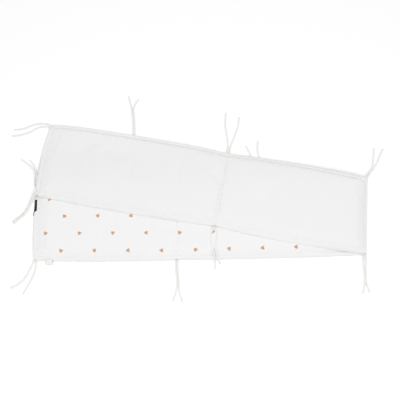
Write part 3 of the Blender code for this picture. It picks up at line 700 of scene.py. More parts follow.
def held_still(layer, s, v):
    """How firmly a point is held: 1 on the sewn edges, the channel and the fold, 0 away from them."""
    side, end = from_edges(layer, s, v)
    from_channel = np.abs(s - layer["seam"])
    hold = np.maximum(1.0 - smooth((np.minimum(side, end) - 0.006) / 0.004),
                      1.0 - smooth((from_channel - 0.0005) / 0.003))
    return np.maximum(hold, 1.0 - smooth((s - 0.004) / 0.01))


def pushed_out(layer, s, v, place, top):
    """Height gained by a layer's top under Cloth: limit times the hyperbolic tangent of gain over limit."""
    rows, columns = top.shape
    mesh = bpy.data.meshes.new("cloth_run")
    mesh.from_pydata(lift_to(place, top).reshape(-1, 3).tolist(), [], grid_faces(rows, columns).tolist())
    run = add_object("cloth_run", mesh)
    tenths = np.round(held_still(layer, s, v).ravel() * 10).astype(int)
    group = run.vertex_groups.new(name="held")
    for tenth in range(1, 11):
        group.add(np.nonzero(tenths == tenth)[0].tolist(), tenth / 10.0, "REPLACE")
    upward = np.empty(len(mesh.polygons) * 3)
    mesh.polygons.foreach_get("normal", upward)
    cloth = run.modifiers.new("Cloth", "CLOTH")
    settings = cloth.settings
    settings.vertex_group_mass = "held"
    settings.use_pressure = True
    settings.uniform_pressure_force = PUSH * np.sign(upward[2::3].mean())
    settings.effector_weights.gravity = 0.0
    settings.shrink_min = -GROWTH
    settings.quality = 4
    settings.mass = 0.15
    settings.tension_stiffness = settings.compression_stiffness = 12.0
    settings.shear_stiffness = 4.0
    settings.bending_stiffness = 0.05
    cloth.collision_settings.use_collision = False
    cloth.point_cache.frame_end = PUSH_FRAMES
    for number in range(1, PUSH_FRAMES + 1):
        bpy.context.scene.frame_set(number)
    moved = run.evaluated_get(bpy.context.evaluated_depsgraph_get()).to_mesh()
    after = np.empty(len(moved.vertices) * 3)
    moved.vertices.foreach_get("co", after)
    bpy.data.objects.remove(run)
    bpy.data.meshes.remove(mesh)
    bpy.context.scene.frame_set(1)
    gain = after[2::3].reshape(rows, columns) - top
    return PUSH_LIMIT * np.tanh(gain / PUSH_LIMIT)


low_gain = pushed_out(LOWER, low_s, low_v, low_place, low_top)
up_gain = pushed_out(UPPER, up_s, up_v, up_place, up_top)
print("The cloth gained at most", round(float(max(low_gain.max(), up_gain.max())) * 1000, 1),
      "and lost", round(float(min(low_gain.min(), up_gain.min())) * -1000, 1), "millimetres")
low_top, up_top = low_top + low_gain, up_top + up_gain
back_low, back_up = lift_to(low_place, low_bottom)[::-1], lift_to(up_place, up_top)
front_low, front_up = lift_to(low_place, low_top)[::-1], lift_to(up_place, up_bottom)
back_cloth = np.concatenate([back_low, join_round_fold(back_low[-1], back_up[0]), back_up])
front_cloth = np.concatenate([front_low, join_round_fold(front_low[-1], front_up[0]), front_up])
print("Each cloth is a grid of", back_cloth.shape[0], "by", back_cloth.shape[1], "points")

# %% [markdown]
# ## The pad
#
# The real pad is two cloths with filling between them, folded in two. Two boxes would leave a cut at the
# fold. Here both cloths already run on round the fold, so joining their rims gives one closed skin. Each
# point also keeps its metres of cloth, so that weave and print follow the strip.

# %% Make the pad
OUTER_BEND = 0.014  # half the length of cloth round the fold, outside and inside
INNER_BEND = 0.002


def cloth_metres(half_bend):
    """Metres of cloth along the strip from the fold, and across it, for each point of a cloth."""
    around = np.linspace(-half_bend, half_bend, BEND_ROWS + 1)[1:-1]
    along = np.concatenate([-low_s[::-1, 0] - half_bend, around, up_s[:, 0] + half_bend])
    low_w, up_w = cross_offset(LOWER, low_s, low_v)[::-1], cross_offset(UPPER, up_s, up_v)
    across = np.concatenate([low_w, np.repeat(low_w[-1:], len(around), axis=0), up_w])
    return np.stack([np.broadcast_to(along[:, None], across.shape), across], axis=-1)


rows, columns = back_cloth.shape[:2]
pad_points, pad_faces, pad_volume = closed_pair(back_cloth, front_cloth)
pad_map = np.concatenate([cloth_metres(OUTER_BEND).reshape(-1, 2), cloth_metres(INNER_BEND).reshape(-1, 2)])
cloth_number = np.arange(len(pad_faces)) >= len(pad_faces) - (rows - 1) * (columns - 1)
pad = make_piece("padded_strip", pad_points, pad_faces, pad_map, cloth_number)
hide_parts("pad")
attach(pad, "root")
print("The pad holds", round(pad_volume * 1000, 1), "litres in", len(pad_faces), "faces")

# %% [markdown]
# ## The binding
#
# The tape is folded over the pad's sewn edge and stitched through both sides, so its section is a soft
# wedge with a rounded outside, and a thin folded edge that lies on the pad. It is one closed section,
# carried once round the rim, and so twice past the fold. Where the thread pulls, the tape gathers: its
# height carries short slanting waves.

# %% The binding's section and path
TAPE_HALF = (
    (-0.0052, 0.0030), (-0.0052, 0.0040), (-0.0043, 0.0048), (-0.0030, 0.0047), (-0.0018, 0.0050),
    (0.0008, 0.0053), (0.0050, 0.0055), (0.0090, 0.0055), (0.0125, 0.0052), (0.0152, 0.0043),
    (0.0168, 0.0030), (0.0176, 0.0016), (0.0179, 0.0))
SEWN_AT = 3  # the point of TAPE_HALF that is stitched


def outward_directions(path, near_fold, far_fold):
    """Level direction away from the pad at each point of its rim."""
    tangent = np.roll(path, -1, axis=0) - np.roll(path, 1, axis=0)
    out = np.stack([tangent[:, 1], -tangent[:, 0], np.zeros(len(path))], axis=-1)
    along = np.array([math.sin(FOLD_LEAN), math.cos(FOLD_LEAN), 0.0])
    out[near_fold] = -along
    out[far_fold] = along
    flip = np.einsum("ij,ij->i", out[:, :2], path[:, :2] - path[:, :2].mean(axis=0)) < 0.0
    flip[near_fold] = False
    flip[far_fold] = False
    out[flip] = -out[flip]
    return unit(out)


outer_rim, inner_rim = rim(back_cloth), rim(front_cloth)
tape_path = (outer_rim + inner_rim) / 2.0
thick = unit(outer_rim - inner_rim)
fold_start = len(back_low) - 1
fold_rows = np.arange(fold_start, fold_start + BEND_ROWS + 1)
far_start = rows + columns - 2
tape_out = outward_directions(tape_path, fold_rows, far_start + rows - 1 - fold_rows)
tape_run = distances(np.vstack([tape_path, tape_path[:1]]))
tape_length = tape_run[-1]
tape_run = tape_run[:-1]
print("The tape is", round(float(tape_length), 2), "metres long")

# %% [markdown]
# No filling holds the tape up, so its outer edge droops, by about a centimetre at most, towards what is
# below: the ground, or for the upper layer the lower one's cloth, or its tape, which stands TAPE_TOP high.
# It droops less beside a tie and at the far side, and not at all at the fold, where it is also thinner.
# On the upper layer the tape is a little narrower, most at the far side, as it is in the picture.

# %% Make the binding
TAPE_TOP = 0.0090
DROOP_FREE = 0.0014  # how far above its rest the tape stays
DROOP_LIMIT = 0.0105
DROOP_FOLD_REACH = 0.05
TIE_HOLD = 0.85
TIE_HOLD_REACH = 0.022
FAR_HOLD = 0.15
THIN_AT_FOLD = 0.22
THIN_FOLD_REACH = 0.07
THIN_NEAR = 0.15
NARROW_NEAR = 0.17
NARROW_FAR = 0.29
NARROW_FOLD_REACH = 0.5
NARROW_FROM = 0.006  # how far out on the section the narrowing is full
SLANT = 0.9  # how far a gather moves along the tape for each metre across it
SHORT_GATHER = 0.085  # shares of the tape's height, and the wavelengths of these waves
SHORT_WAVE = 0.019
LONG_GATHER = 0.06
LONG_WAVE = 0.07
WANDER = 0.0005  # how far the tape's outer edge strays
WANDER_WAVE = 0.06
REST_AT = 0.016  # how far out from the pad's rim the tape's rest is read
CLEAR = 0.0002  # between the tape and what is under it


def loop_ripple(run, length, wavelength, seed):
    """A ripple that meets itself after one turn of a loop: sines with whole numbers of waves."""
    rng = np.random.default_rng(seed)
    count = np.round(length / (wavelength * rng.uniform(0.7, 1.5, 9)))
    phase = rng.uniform(0, 2 * math.pi, 9)
    turn = 2.0 * math.pi * run[..., None] / length * count + phase
    return np.sin(turn).sum(axis=-1) / 3.0


def lower_top_at(place):
    """Height of the lower layer's upper cloth under each place. The s and v there are corrected four times
    by what plan misses, and the height is read between the grid's points. Over the lower layer's own
    tape it is a quarter of an ellipse, and outside that it is the ground."""
    s, v = FOLD_PLACE[0] - place[..., 0], np.zeros(place.shape[:-1])
    for _ in range(4):
        s = np.clip(s, 0.0, pad_length(LOWER))
        turn = heading(LOWER, s)
        miss = place - plan(LOWER, s, v)
        s = s - np.cos(turn) * miss[..., 0] - np.sin(turn) * miss[..., 1]
        v = v + (np.cos(turn) * miss[..., 1] - np.sin(turn) * miss[..., 0]) / HALF_PAD
    row = np.interp(s, low_s[:, 0], np.arange(len(low_s)))
    column = np.interp(v, low_v[0], np.arange(low_v.shape[1]))
    r, c = np.floor(row).astype(int), np.floor(column).astype(int)
    r, c = np.minimum(r, len(low_s) - 2), np.minimum(c, low_v.shape[1] - 2)
    row, column = row - r, column - c
    inside = (low_top[r, c] * (1 - row) + low_top[r + 1, c] * row) * (1 - column)
    inside = inside + (low_top[r, c + 1] * (1 - row) + low_top[r + 1, c + 1] * row) * column
    past = np.maximum((np.abs(v) - 1.0) * HALF_PAD, s - pad_length(LOWER))
    tape = TAPE_TOP * np.sqrt(np.clip(1.0 - (past / BINDING_WIDTH) ** 2, 0.0, 1.0))
    return np.where(past > 0.0, tape, inside)


half = np.array(TAPE_HALF)
section = np.concatenate([half, half[-2::-1] * np.array([1.0, -1.0])])
sides = len(section)
across_tape = section[None, :, 0]
past_fold = tape_path - np.append(FOLD_PLACE, 0.0)
from_fold = np.abs(past_fold[:, 0] * math.cos(FOLD_LEAN) - past_fold[:, 1] * math.sin(FOLD_LEAN))
path_number = np.arange(len(tape_path))
on_upper = (path_number > fold_rows[-1]) & (path_number < far_start + rows - 1 - fold_rows[-1])
near_upper = on_upper * smooth(-1.5 * tape_out[:, 1])
far_upper = on_upper * smooth(1.5 * tape_out[:, 1]) * smooth(from_fold / NARROW_FOLD_REACH)
rest = np.where(on_upper, lower_top_at((tape_path + tape_out * REST_AT)[:, :2]), 0.0)
tie_starts = np.array([route[0] for route in TIE_ROUTES.values()])
to_ties = (tape_path + tape_out * BINDING_WIDTH)[:, None] - tie_starts[None]
held = TIE_HOLD * np.exp(-(np.linalg.norm(to_ties, axis=-1).min(axis=1) / TIE_HOLD_REACH) ** 2)
droop = np.clip(tape_path[:, 2] - rest - DROOP_FREE, 0.0, DROOP_LIMIT) * smooth(from_fold / DROOP_FOLD_REACH)
droop = droop * (1.0 - held) * (1.0 - FAR_HOLD * smooth(tape_out[:, 1]))
thin = 1.0 - THIN_AT_FOLD + THIN_AT_FOLD * smooth(from_fold / THIN_FOLD_REACH)
thin = thin * (1.0 - THIN_NEAR * near_upper)
slanting = tape_run[:, None] + SLANT * across_tape
gather = 1.0 + SHORT_GATHER * loop_ripple(slanting, tape_length, SHORT_WAVE, 71)
gather = gather * (1.0 + LONG_GATHER * loop_ripple(slanting, tape_length, LONG_WAVE, 72))
wander = WANDER * loop_ripple(tape_run, tape_length, WANDER_WAVE, 73)
height = section[None, :, 1] * thin[:, None] * gather
width = across_tape + wander[:, None] * np.clip(across_tape / 0.010, 0.0, 1.0)
narrower = (NARROW_NEAR * near_upper + NARROW_FAR * far_upper)[:, None] * smooth(across_tape / NARROW_FROM)
width = width * (1.0 - narrower)
tape_points = carry(tape_path, tape_out, thick, np.stack([width, height], axis=-1))
tape_points[..., 2] -= droop[:, None] * smooth(across_tape / BINDING_WIDTH)
floor_of_tape = np.where(on_upper[:, None], lower_top_at(tape_points[..., :2]), 0.0)
tape_points[..., 2] = np.maximum(tape_points[..., 2], floor_of_tape + CLEAR)
tape_faces = grid_faces(len(tape_path), sides, wrap_rows=True, wrap_columns=True)
tape_faces, tape_volume = outward_faces(tape_points.reshape(-1, 3), tape_faces)
round_tape = distances(np.vstack([section, section[:1]]))[:-1]
tape_map = np.stack(np.broadcast_arrays(tape_run[:, None], round_tape[None, :]), axis=-1)
binding = make_piece("bound_edge", tape_points, tape_faces, tape_map)
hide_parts("edge_binding")
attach(binding, "root")
print("The binding holds", round(float(tape_volume) * 1000, 1), "litres in", len(tape_faces),
      "faces, and droops by up to", round(float(droop.max()) * 1000, 1), "millimetres")

# %% [markdown]
# ## The stitching
#
# A row of machine stitches holds the tape on both faces, and another runs along each channel. At the
# picture's distance they are only a faint line, but from near by they are what makes the edge look sewn.
# One stitch is a short spindle with a few faces. All of them are placed at once, as sums of arrays.

# %% Place and make the stitches
STITCH_PITCH = 0.0034
STITCH_LENGTH = 0.0025
STITCH_RADIUS = 0.00032
LOWEST_STITCH = 0.0015  # a stitch below this height is under the tape, on the ground


def stitch_places(line, up):
    """Middle, direction and up of a stitch at each pitch along a line."""
    run = distances(line)
    at = np.arange(STITCH_PITCH, run[-1], STITCH_PITCH)
    ahead = unit(along_line(line, run, at + 0.001) - along_line(line, run, at - 0.001))
    above = along_line(up, run, at)
    above = above - ahead * np.einsum("ij,ij->i", above, ahead)[:, None]
    return along_line(line, run, at), ahead, unit(above)


def spindles(middle, ahead, up):
    """A spindle at each place: two five-sided rings and two tips, as one array of points and faces."""
    side = np.cross(ahead, up)
    angle = np.linspace(0.0, 2.0 * math.pi, 5, endpoint=False)
    ring = (side[:, None, :] * np.cos(angle)[:, None] + up[:, None, :] * np.sin(angle)[:, None])
    reach = ahead[:, None, :] * STITCH_LENGTH
    points = np.concatenate([middle[:, None] - reach * 0.5,
                             middle[:, None] - reach * 0.26 + ring * STITCH_RADIUS,
                             middle[:, None] + reach * 0.26 + ring * STITCH_RADIUS,
                             middle[:, None] + reach * 0.5], axis=1)
    faces = []
    for k in range(5):
        after = (k + 1) % 5
        faces += [(0, 1 + after, 1 + k, 1 + k), (1 + k, 1 + after, 6 + after, 6 + k),
                  (11, 6 + k, 6 + after, 6 + after)]
    numbers = np.array(faces)[None] + 12 * np.arange(len(middle))[:, None, None]
    faces = [face[:3] if face[2] == face[3] else face for face in numbers.reshape(-1, 4).tolist()]
    return points.reshape(-1, 3), faces


def channel_line(layer, top, s, v):
    """The line of a layer's channel on its upper cloth."""
    row = int(np.argmin(np.abs(s[:, 0] - layer["seam"])))
    return lift_to(plan(layer, s, v), top)[row, 4:-4]


places = []
for column, sign in ((SEWN_AT, 1.0), (sides - 1 - SEWN_AT, -1.0)):
    line = np.vstack([tape_points[:, column], tape_points[:1, column]])
    up = np.vstack([thick, thick[:1]]) * sign
    places.append(stitch_places(line, up))
for line in (channel_line(UPPER, up_top, up_s, up_v), channel_line(LOWER, low_top, low_s, low_v)):
    places.append(stitch_places(line, np.tile([0.0, 0.0, 1.0], (len(line), 1))))
middle, ahead, up = (np.concatenate(part) for part in zip(*places))
seen = middle[:, 2] > LOWEST_STITCH
stitch_points, stitch_faces = spindles(middle[seen], ahead[seen], up[seen])
stitching = make_piece("stitching", stitch_points, stitch_faces, stitch_points[:, :2])
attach(stitching, "root")
print(int(seen.sum()), "stitches with", len(stitch_faces), "faces in all")

# %% [markdown]
# ## The two tabs
#
# A black woven tab lies over the binding of the lower layer's free end, and a short white tab is caught
# under the near edge. Both are plain. Each is a thin sheet: a grid for its middle surface, and a
# copy of it on either side, half the thickness away along the surface's own normals.

# %% Make the tabs


def thin_sheet(middle, thickness):
    """A closed sheet round a grid: the grid plus and minus half the thickness along its normals."""
    normal = unit(np.cross(np.gradient(middle, axis=0), np.gradient(middle, axis=1)))
    points, faces, _ = closed_pair(middle + normal * thickness / 2.0, middle - normal * thickness / 2.0)
    u, v = distances(middle[:, 0]), distances(middle[0])
    sheet_map = np.stack(np.meshgrid(u, v, indexing="ij"), axis=-1)
    return points, faces, np.concatenate([sheet_map.reshape(-1, 2)] * 2)


def read_at(columns_of_points, y):
    """The point of each column where its second coordinate is y."""
    return np.array([along_line(column, column[:, 1], y) for column in columns_of_points])


BLACK_TAB = (  # y, and the x of the outer and the inner side
    (-0.037, -0.8620, -0.8496), (-0.052, -0.8620, -0.8494), (-0.070, -0.8621, -0.8490),
    (-0.088, -0.8622, -0.8485), (-0.0955, -0.8624, -0.8485), (-0.0985, -0.8630, -0.8530),
    (-0.1015, -0.8643, -0.8605), (-0.107, -0.8652, -0.8619), (-0.121, -0.8657, -0.8628))
BLACK_TAB_THICKNESS = 0.0009
WHITE_TAB = (  # how far in from the tape's edge, and how high
    (0.0090, 0.0103), (0.0050, 0.0105), (0.0010, 0.0098), (-0.0016, 0.0074), (-0.0038, 0.0048),
    (-0.0080, 0.0030), (-0.0130, 0.0018), (-0.0180, 0.0013))
WHITE_TAB_THICKNESS = 0.0013
TAB_COLUMNS = 9
free_end = tape_points[-(columns - 2):][::-1]
end_top = free_end[:, len(TAPE_HALF):-1].transpose(1, 0, 2)
pad_end = lift_to(low_place, low_top)[-8:, 1:-1][::-1]
tab_rows = []
for y, outer, inner in BLACK_TAB:
    over, pad_part = read_at(end_top, y), read_at(pad_end, y)
    line = np.vstack([over, pad_part[pad_part[:, 0] > over[:, 0].max() + 0.001]])
    line = line[np.argsort(line[:, 0])]
    x = np.linspace(outer, inner, TAB_COLUMNS)
    z = np.interp(x, line[:, 0], line[:, 2])
    z = np.maximum(z, np.convolve(np.pad(z, 1, mode="edge"), np.full(3, 1.0 / 3.0), mode="valid"))
    tab_rows.append(np.stack([x, np.full(TAB_COLUMNS, y), z + BLACK_TAB_THICKNESS], axis=-1))
black_tab = make_piece("black_tab", *thin_sheet(np.array(tab_rows), BLACK_TAB_THICKNESS))
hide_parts("side_tab")
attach(black_tab, "root")

near_line = tape_points[:40, len(TAPE_HALF) - 1]
tab_x = np.linspace(-0.7858, -0.7520, TAB_COLUMNS)
edge_y = np.interp(tab_x, near_line[:, 0], near_line[:, 1])
white_grid = np.array([[(x, y + inward, z + 0.0003 * math.sin(x * 260.0)) for x, y in zip(tab_x, edge_y)]
                       for inward, z in WHITE_TAB])
white_tab = make_piece("white_tab", *thin_sheet(white_grid, WHITE_TAB_THICKNESS))
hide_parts("edge_tab")
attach(white_tab, "root")
print("The tabs are", round(BLACK_TAB[0][0] - BLACK_TAB[-1][0], 3), "and",
      round(float(tab_x[-1] - tab_x[0]), 3), "metres long")

# %% [markdown]
# ## The sewn-down roots of the ties
#
# Each pair of strands is one strip of tape, sewn down at its middle over the binding. So on the outer
# face of the strip, a short root of each strand lies across the binding. It follows the binding's own
# surface, a little above it, and meets the strand at the edge.

# %% Make the roots
ROOT_HALF_WIDTH = 0.0040
ROOT_ABOVE = 0.0009
ROOT_THICKNESS = 0.0014


def root_grid(place):
    """Rows over the binding beside a place: the binding's outer face plus a small lift away from it."""
    edge_line = tape_points[:, len(TAPE_HALF) - 1]
    here = tape_run[int(np.argmin(np.linalg.norm(edge_line - np.array(place), axis=1)))]
    steps = here + np.linspace(-ROOT_HALF_WIDTH, ROOT_HALF_WIDTH, 5)
    face = [along_line(tape_points[:, k], tape_run, steps) for k in range(1, len(TAPE_HALF))]
    face = np.stack(face, axis=1)
    lift, out = along_line(thick, tape_run, steps), along_line(tape_out, tape_run, steps)
    share = np.linspace(0.0, 1.0, face.shape[1])[None, :, None] ** 3
    return face + ROOT_ABOVE * (lift[:, None] * (1.0 - share) + out[:, None] * share)


sheets, first = [], 0
for name, route in TIE_ROUTES.items():
    if name.startswith("tie_upper"):
        points, faces, cloth_map = thin_sheet(root_grid(route[0]), ROOT_THICKNESS)
        sheets.append((points, faces + first, cloth_map))
        first += len(points)
tie_roots = make_piece("tie_roots", *(np.concatenate(part) for part in zip(*sheets)))
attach(tie_roots, "root")
print(len(sheets), "roots lie over the binding")

# %% [markdown]
# ## Cloth made of nodes
#
# Woven cotton is not one flat colour. Its threads cross in a weave of about half a millimetre, its colour
# drifts a little from place to place, its surface is matt with a soft sheen at the edges, and it is
# never quite smooth. One helper builds all of that, reading the map in metres of cloth that each piece
# carries, so threads run along the strip and along each tie.

# %% Helpers for material nodes
FUZZ_SCALE = 1400.0  # waves per metre
CRUMPLE_SCALE = 38.0
WEAVE_HEIGHT = 0.00010
FUZZ_HEIGHT = 0.00006


class Term:
    """A value in a node tree. A sum with it makes a Math node, so that a formula reads as one."""

    def __init__(self, socket):
        """Keep the output socket that carries the value."""
        self.socket = socket

    def calc(self, operation, *others):
        """A Math node's result, for this value and the others."""
        made = self.socket.id_data.nodes.new("ShaderNodeMath")
        made.operation = operation
        for socket, value in zip(made.inputs, (self, *others)):
            put(socket, value)
        return Term(made.outputs[0])

    def __add__(self, other):
        """This value plus the other."""
        return self.calc("ADD", other)

    def __sub__(self, other):
        """This value less the other."""
        return self.calc("SUBTRACT", other)

    def __mul__(self, other):
        """This value times the other."""
        return self.calc("MULTIPLY", other)

    def __truediv__(self, other):
        """This value over the other."""
        return self.calc("DIVIDE", other)


def put(socket, value):
    """Link a socket to a term, or set its value."""
    if isinstance(value, Term):
        socket.id_data.links.new(value.socket, socket)
    else:
        socket.default_value = value


def noise(place, scale, detail=2.0):
    """Soft noise from about 0 to 1, read at a place; scale is in waves per metre."""
    made = place.socket.id_data.nodes.new("ShaderNodeTexNoise")
    put(made.inputs["Vector"], place)
    put(made.inputs["Scale"], scale)
    put(made.inputs["Detail"], detail)
    return Term(made.outputs["Fac"])


def weave_height(u, v, pitch):
    """Plain weave: 0.7 times the lesser of the absolute sines of u and v, which is low between threads,
    plus 0.3 on every other square of a chequer, where the product of the two sines is positive."""
    across, along = ((part * (math.pi / pitch)).calc("SINE") for part in (u, v))
    lower = across.calc("ABSOLUTE").calc("MINIMUM", along.calc("ABSOLUTE"))
    return lower * 0.7 + (across * along).calc("GREATER_THAN", 0.0) * 0.3


def blend_colour(share, first, second):
    """A Mix node between two colours."""
    made = share.socket.id_data.nodes.new("ShaderNodeMix")
    made.data_type = "RGBA"
    for socket, value in (("Factor", share), ("A", first), ("B", second)):
        put(made.inputs[socket], value)
    return Term(made.outputs["Result"])


print("Fuzz is", round(1000 / FUZZ_SCALE, 1), "mm apart, crumples", round(1000 / CRUMPLE_SCALE), "mm")

# %% [markdown]
# ## One cloth for every piece
#
# The pad, the binding and the ties are the same kind of cotton in near tones. A picture of cloth could be
# wrapped round them, but it goes soft from close by. So the material is worked out: two tones mixed by
# noise, and bumps whose heights are in metres.

# %% The cloth material


def cloth_material(name, light, dark, thread, roughness, sheen, crumple, printed):
    """Woven cloth: colour between two near tones by soft noise, and bumps of weave, fuzz and crumples."""
    made = bpy.data.materials.new(name)
    made.use_nodes = True
    tree = made.node_tree
    shader = tree.nodes["Principled BSDF"]
    cloth = tree.nodes.new("ShaderNodeUVMap")
    cloth.uv_map = "cloth"
    place = Term(tree.nodes.new("ShaderNodeTexCoord").outputs["Object"])
    parts = tree.nodes.new("ShaderNodeSeparateXYZ")
    put(parts.inputs["Vector"], Term(cloth.outputs["UV"]))
    u, v = Term(parts.outputs["X"]), Term(parts.outputs["Y"])
    drift = noise(place, 5.0) * 0.7 + noise(place, 60.0) * 0.3
    slub = drift * 0.8 + noise(place, 900.0) * 0.2
    colour = blend_colour(slub, (*dark, 1.0), (*light, 1.0))
    if printed:
        colour = blend_colour(heart_print(u, v, noise(place, 700.0)), colour, HEART_COLOUR)
    put(shader.inputs["Base Color"], colour)
    woven = weave_height(u, v, thread) * WEAVE_HEIGHT + noise(place, FUZZ_SCALE, 3.0) * FUZZ_HEIGHT
    bump = tree.nodes.new("ShaderNodeBump")
    bump.inputs["Strength"].default_value = 0.6
    bump.inputs["Distance"].default_value = 1.0
    put(bump.inputs["Height"], woven + noise(place, CRUMPLE_SCALE) * crumple)
    put(shader.inputs["Normal"], Term(bump.outputs["Normal"]))
    shader.inputs["Roughness"].default_value = roughness
    shader.inputs["Sheen Weight"].default_value = sheen
    shader.inputs["Sheen Roughness"].default_value = 0.5
    shader.inputs["Specular IOR Level"].default_value = 0.25
    return made


print("The weave is", WEAVE_HEIGHT * 1000, "mm high and the fuzz", FUZZ_HEIGHT * 1000)

# %% [markdown]
# ## The printed hearts
#
# The front cloth has small copper hearts, far apart, in rows that step sideways. Each is turned its own
# way, by a small chart of turns that repeats. A heart is a formula: with x and y in units of its half
# width, it is the inside of x squared plus (y plus 0.48, less 0.88 times the root of |x|) squared equals
# 1. The rows
# come from rounding the place in metres of cloth to the nearest heart's, and the turn comes from a
# colour ramp that holds the chart.

# %% The heart print
HEART_COLOUR = (0.60, 0.345, 0.21, 1.0)
HEART_HALF_WIDTH = 0.0088
ROW_STEP = 0.0907
HEART_STEP = 0.1693
ROW_SHIFT = 0.0790
FIRST_HEART = (-0.0315, -0.157)
HEART_LOBE = 0.88
HEART_RAISE = 0.48
HEART_FRAY = 0.12
HEART_TURNS = ((340.0, 83.0, 90.0, 266.0), (260.0, 8.0, 90.0, 266.0))


def heart_turn(row, number):
    """The turn of one heart, read from the chart: its place is number less half the row rounded down,
    by fours, and odd rows take the chart's second line."""
    column = (number - (row / 2.0).calc("FLOOR")).calc("FLOORED_MODULO", 4.0)
    line = row.calc("FLOORED_MODULO", 2.0)
    nodes = row.socket.id_data.nodes
    chart = nodes.new("ShaderNodeValToRGB")
    ramp = chart.color_ramp
    ramp.interpolation = "CONSTANT"
    degrees = HEART_TURNS[0] + HEART_TURNS[1]
    for _ in degrees[2:]:
        ramp.elements.new(0.5)
    for k, degree in enumerate(degrees):
        ramp.elements[k].position = k / len(degrees)
        ramp.elements[k].color = (degree / 360.0, 0.0, 0.0, 1.0)
    put(chart.inputs["Fac"], (column + line * 4.0 + 0.5) / float(len(degrees)))
    parts = nodes.new("ShaderNodeSeparateColor")
    put(parts.inputs["Color"], Term(chart.outputs["Color"]))
    return Term(parts.outputs["Red"]) * (2.0 * math.pi)


def heart_print(u, v, fray):
    """How much of the print covers a place, from 0 to 1."""
    row = ((v - FIRST_HEART[1]) / ROW_STEP).calc("ROUND")
    shifted = u - FIRST_HEART[0] + row * ROW_SHIFT
    number = (shifted / HEART_STEP).calc("ROUND")
    x = shifted - number * HEART_STEP
    y = v - (row * ROW_STEP + FIRST_HEART[1])
    turn = heart_turn(row, number)
    cosine, sine = turn.calc("COSINE"), turn.calc("SINE")
    x, y = (x * cosine - y * sine) / HEART_HALF_WIDTH, (x * sine + y * cosine) / HEART_HALF_WIDTH
    rise = y + HEART_RAISE - x.calc("ABSOLUTE").calc("SQRT") * HEART_LOBE
    edge_at = x * x + rise * rise + fray * HEART_FRAY
    cover = edge_at.socket.id_data.nodes.new("ShaderNodeMapRange")
    cover.interpolation_type = "SMOOTHSTEP"
    for socket, value in zip(cover.inputs, (edge_at, 1.02, 1.12, 1.0, 0.0)):
        put(socket, value)
    return Term(cover.outputs["Result"])


print("The hearts are", round(2000 * HEART_HALF_WIDTH, 1), "mm wide and", round(1000 * HEART_STEP, 1),
      "mm apart in a row")

# %% [markdown]
# Each finish has its light and its dark tone, the pitch of its threads, its roughness, its sheen, the height
# of its crumples, and the pieces that wear it. The pad wears two: the back cloth first, then the front.

# %% Materials on every piece
FINISHES = {
    "plain_back_cloth": ((0.837, 0.834, 0.839), (0.821, 0.817, 0.821), 0.0005, 0.85, 0.12, 0.0003, [pad]),
    "printed_front_cloth": ((0.850, 0.848, 0.851), (0.834, 0.831, 0.833), 0.0005, 0.85, 0.12, 0.0003, [pad]),
    "binding_tape": ((0.838, 0.833, 0.829), (0.816, 0.811, 0.806), 0.0006, 0.85, 0.15, 0.0002, [binding]),
    "tie_tape": ((0.845, 0.835, 0.813), (0.817, 0.805, 0.780), 0.0007, 0.85, 0.15, 0.0002,
                 tie_pieces + [tie_roots]),
    "sewing_thread": ((0.825, 0.822, 0.822), (0.80, 0.797, 0.797), 0.0004, 0.6, 0.1, 0.0, [stitching]),
    "black_woven_tape": ((0.012, 0.012, 0.013), (0.008, 0.008, 0.009), 0.0005, 0.6, 0.15, 0.0001,
                         [black_tab]),
    "white_tab_cloth": ((0.85, 0.85, 0.86), (0.82, 0.82, 0.83), 0.0005, 0.8, 0.1, 0.0002, [white_tab]),
}
math_nodes = 0
for name, (*numbers, pieces) in FINISHES.items():
    finish = cloth_material(name, *numbers, printed=name.startswith("printed"))
    for piece in pieces:
        piece.data.materials.append(finish)
    math_nodes += sum(node.type == "MATH" for node in finish.node_tree.nodes)
print(len(FINISHES), "finishes with", math_nodes, "Math nodes")

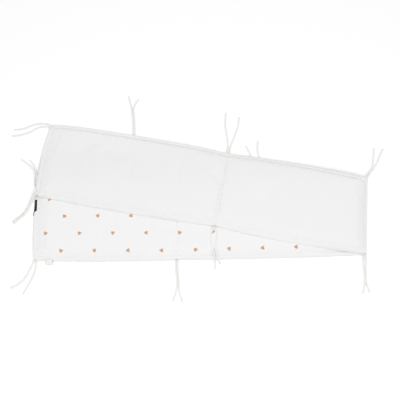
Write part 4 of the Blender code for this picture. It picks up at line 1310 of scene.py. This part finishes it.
# %% [markdown]
# ## Floor and light
#
# The picture was taken in a white studio, with almost no shadow. That light comes from a white world that
# is brighter overhead than at the horizon, so that level cloth is lightest and every slope is a little
# darker, which models the crowns and the folds. One large weak lamp from high on the near side keeps the
# near slopes from going grey. The floor is a plain pale sheet, a hair below the object's lowest point.

# %% Floor, world and lamp
FLOOR_HALF = 30.0
FLOOR_HEIGHT = -0.0005
HORIZON_LIGHT = 0.35
OVERHEAD_LIGHT = 0.865
LAMP_PLACE = Vector((0.2, -1.7, 3.1))
corners = [(x * FLOOR_HALF, y * FLOOR_HALF, FLOOR_HEIGHT) for x, y in ((-1, -1), (1, -1), (1, 1), (-1, 1))]
floor_mesh = bpy.data.meshes.new("floor")
floor_mesh.from_pydata(corners, [], [(0, 1, 2, 3)])
floor = add_object("floor", floor_mesh)
floor_finish = bpy.data.materials.new("floor_paper")
floor_finish.use_nodes = True
floor_shader = floor_finish.node_tree.nodes["Principled BSDF"]
floor_shader.inputs["Base Color"].default_value = (0.980, 0.980, 0.980, 1.0)
floor_shader.inputs["Roughness"].default_value = 0.95
floor_shader.inputs["Specular IOR Level"].default_value = 0.0
floor_mesh.materials.append(floor_finish)
world = bpy.data.worlds.new("studio")
bpy.context.scene.world = world
world.use_nodes = True
world.node_tree.nodes["Background"].inputs["Color"].default_value = (1.0, 1.0, 1.0, 1.0)
sky = world.node_tree
sky_parts = sky.nodes.new("ShaderNodeSeparateXYZ")
put(sky_parts.inputs["Vector"], Term(sky.nodes.new("ShaderNodeTexCoord").outputs["Generated"]))
upward = Term(sky_parts.outputs["Z"]).calc("MAXIMUM", 0.0)
put(sky.nodes["Background"].inputs["Strength"], upward * OVERHEAD_LIGHT + HORIZON_LIGHT)
lamp_data = bpy.data.lights.new("soft_lamp", "AREA")
lamp_data.shape = "DISK"
lamp_data.size = 1.8
lamp_data.energy = 21.0
add_aimed("soft_lamp", lamp_data, LAMP_PLACE, Vector((0.0, 0.0, 0.0)))
bpy.context.scene.view_settings.view_transform = "Standard"
print("The world is", HORIZON_LIGHT, "at the horizon and", HORIZON_LIGHT + OVERHEAD_LIGHT, "overhead")
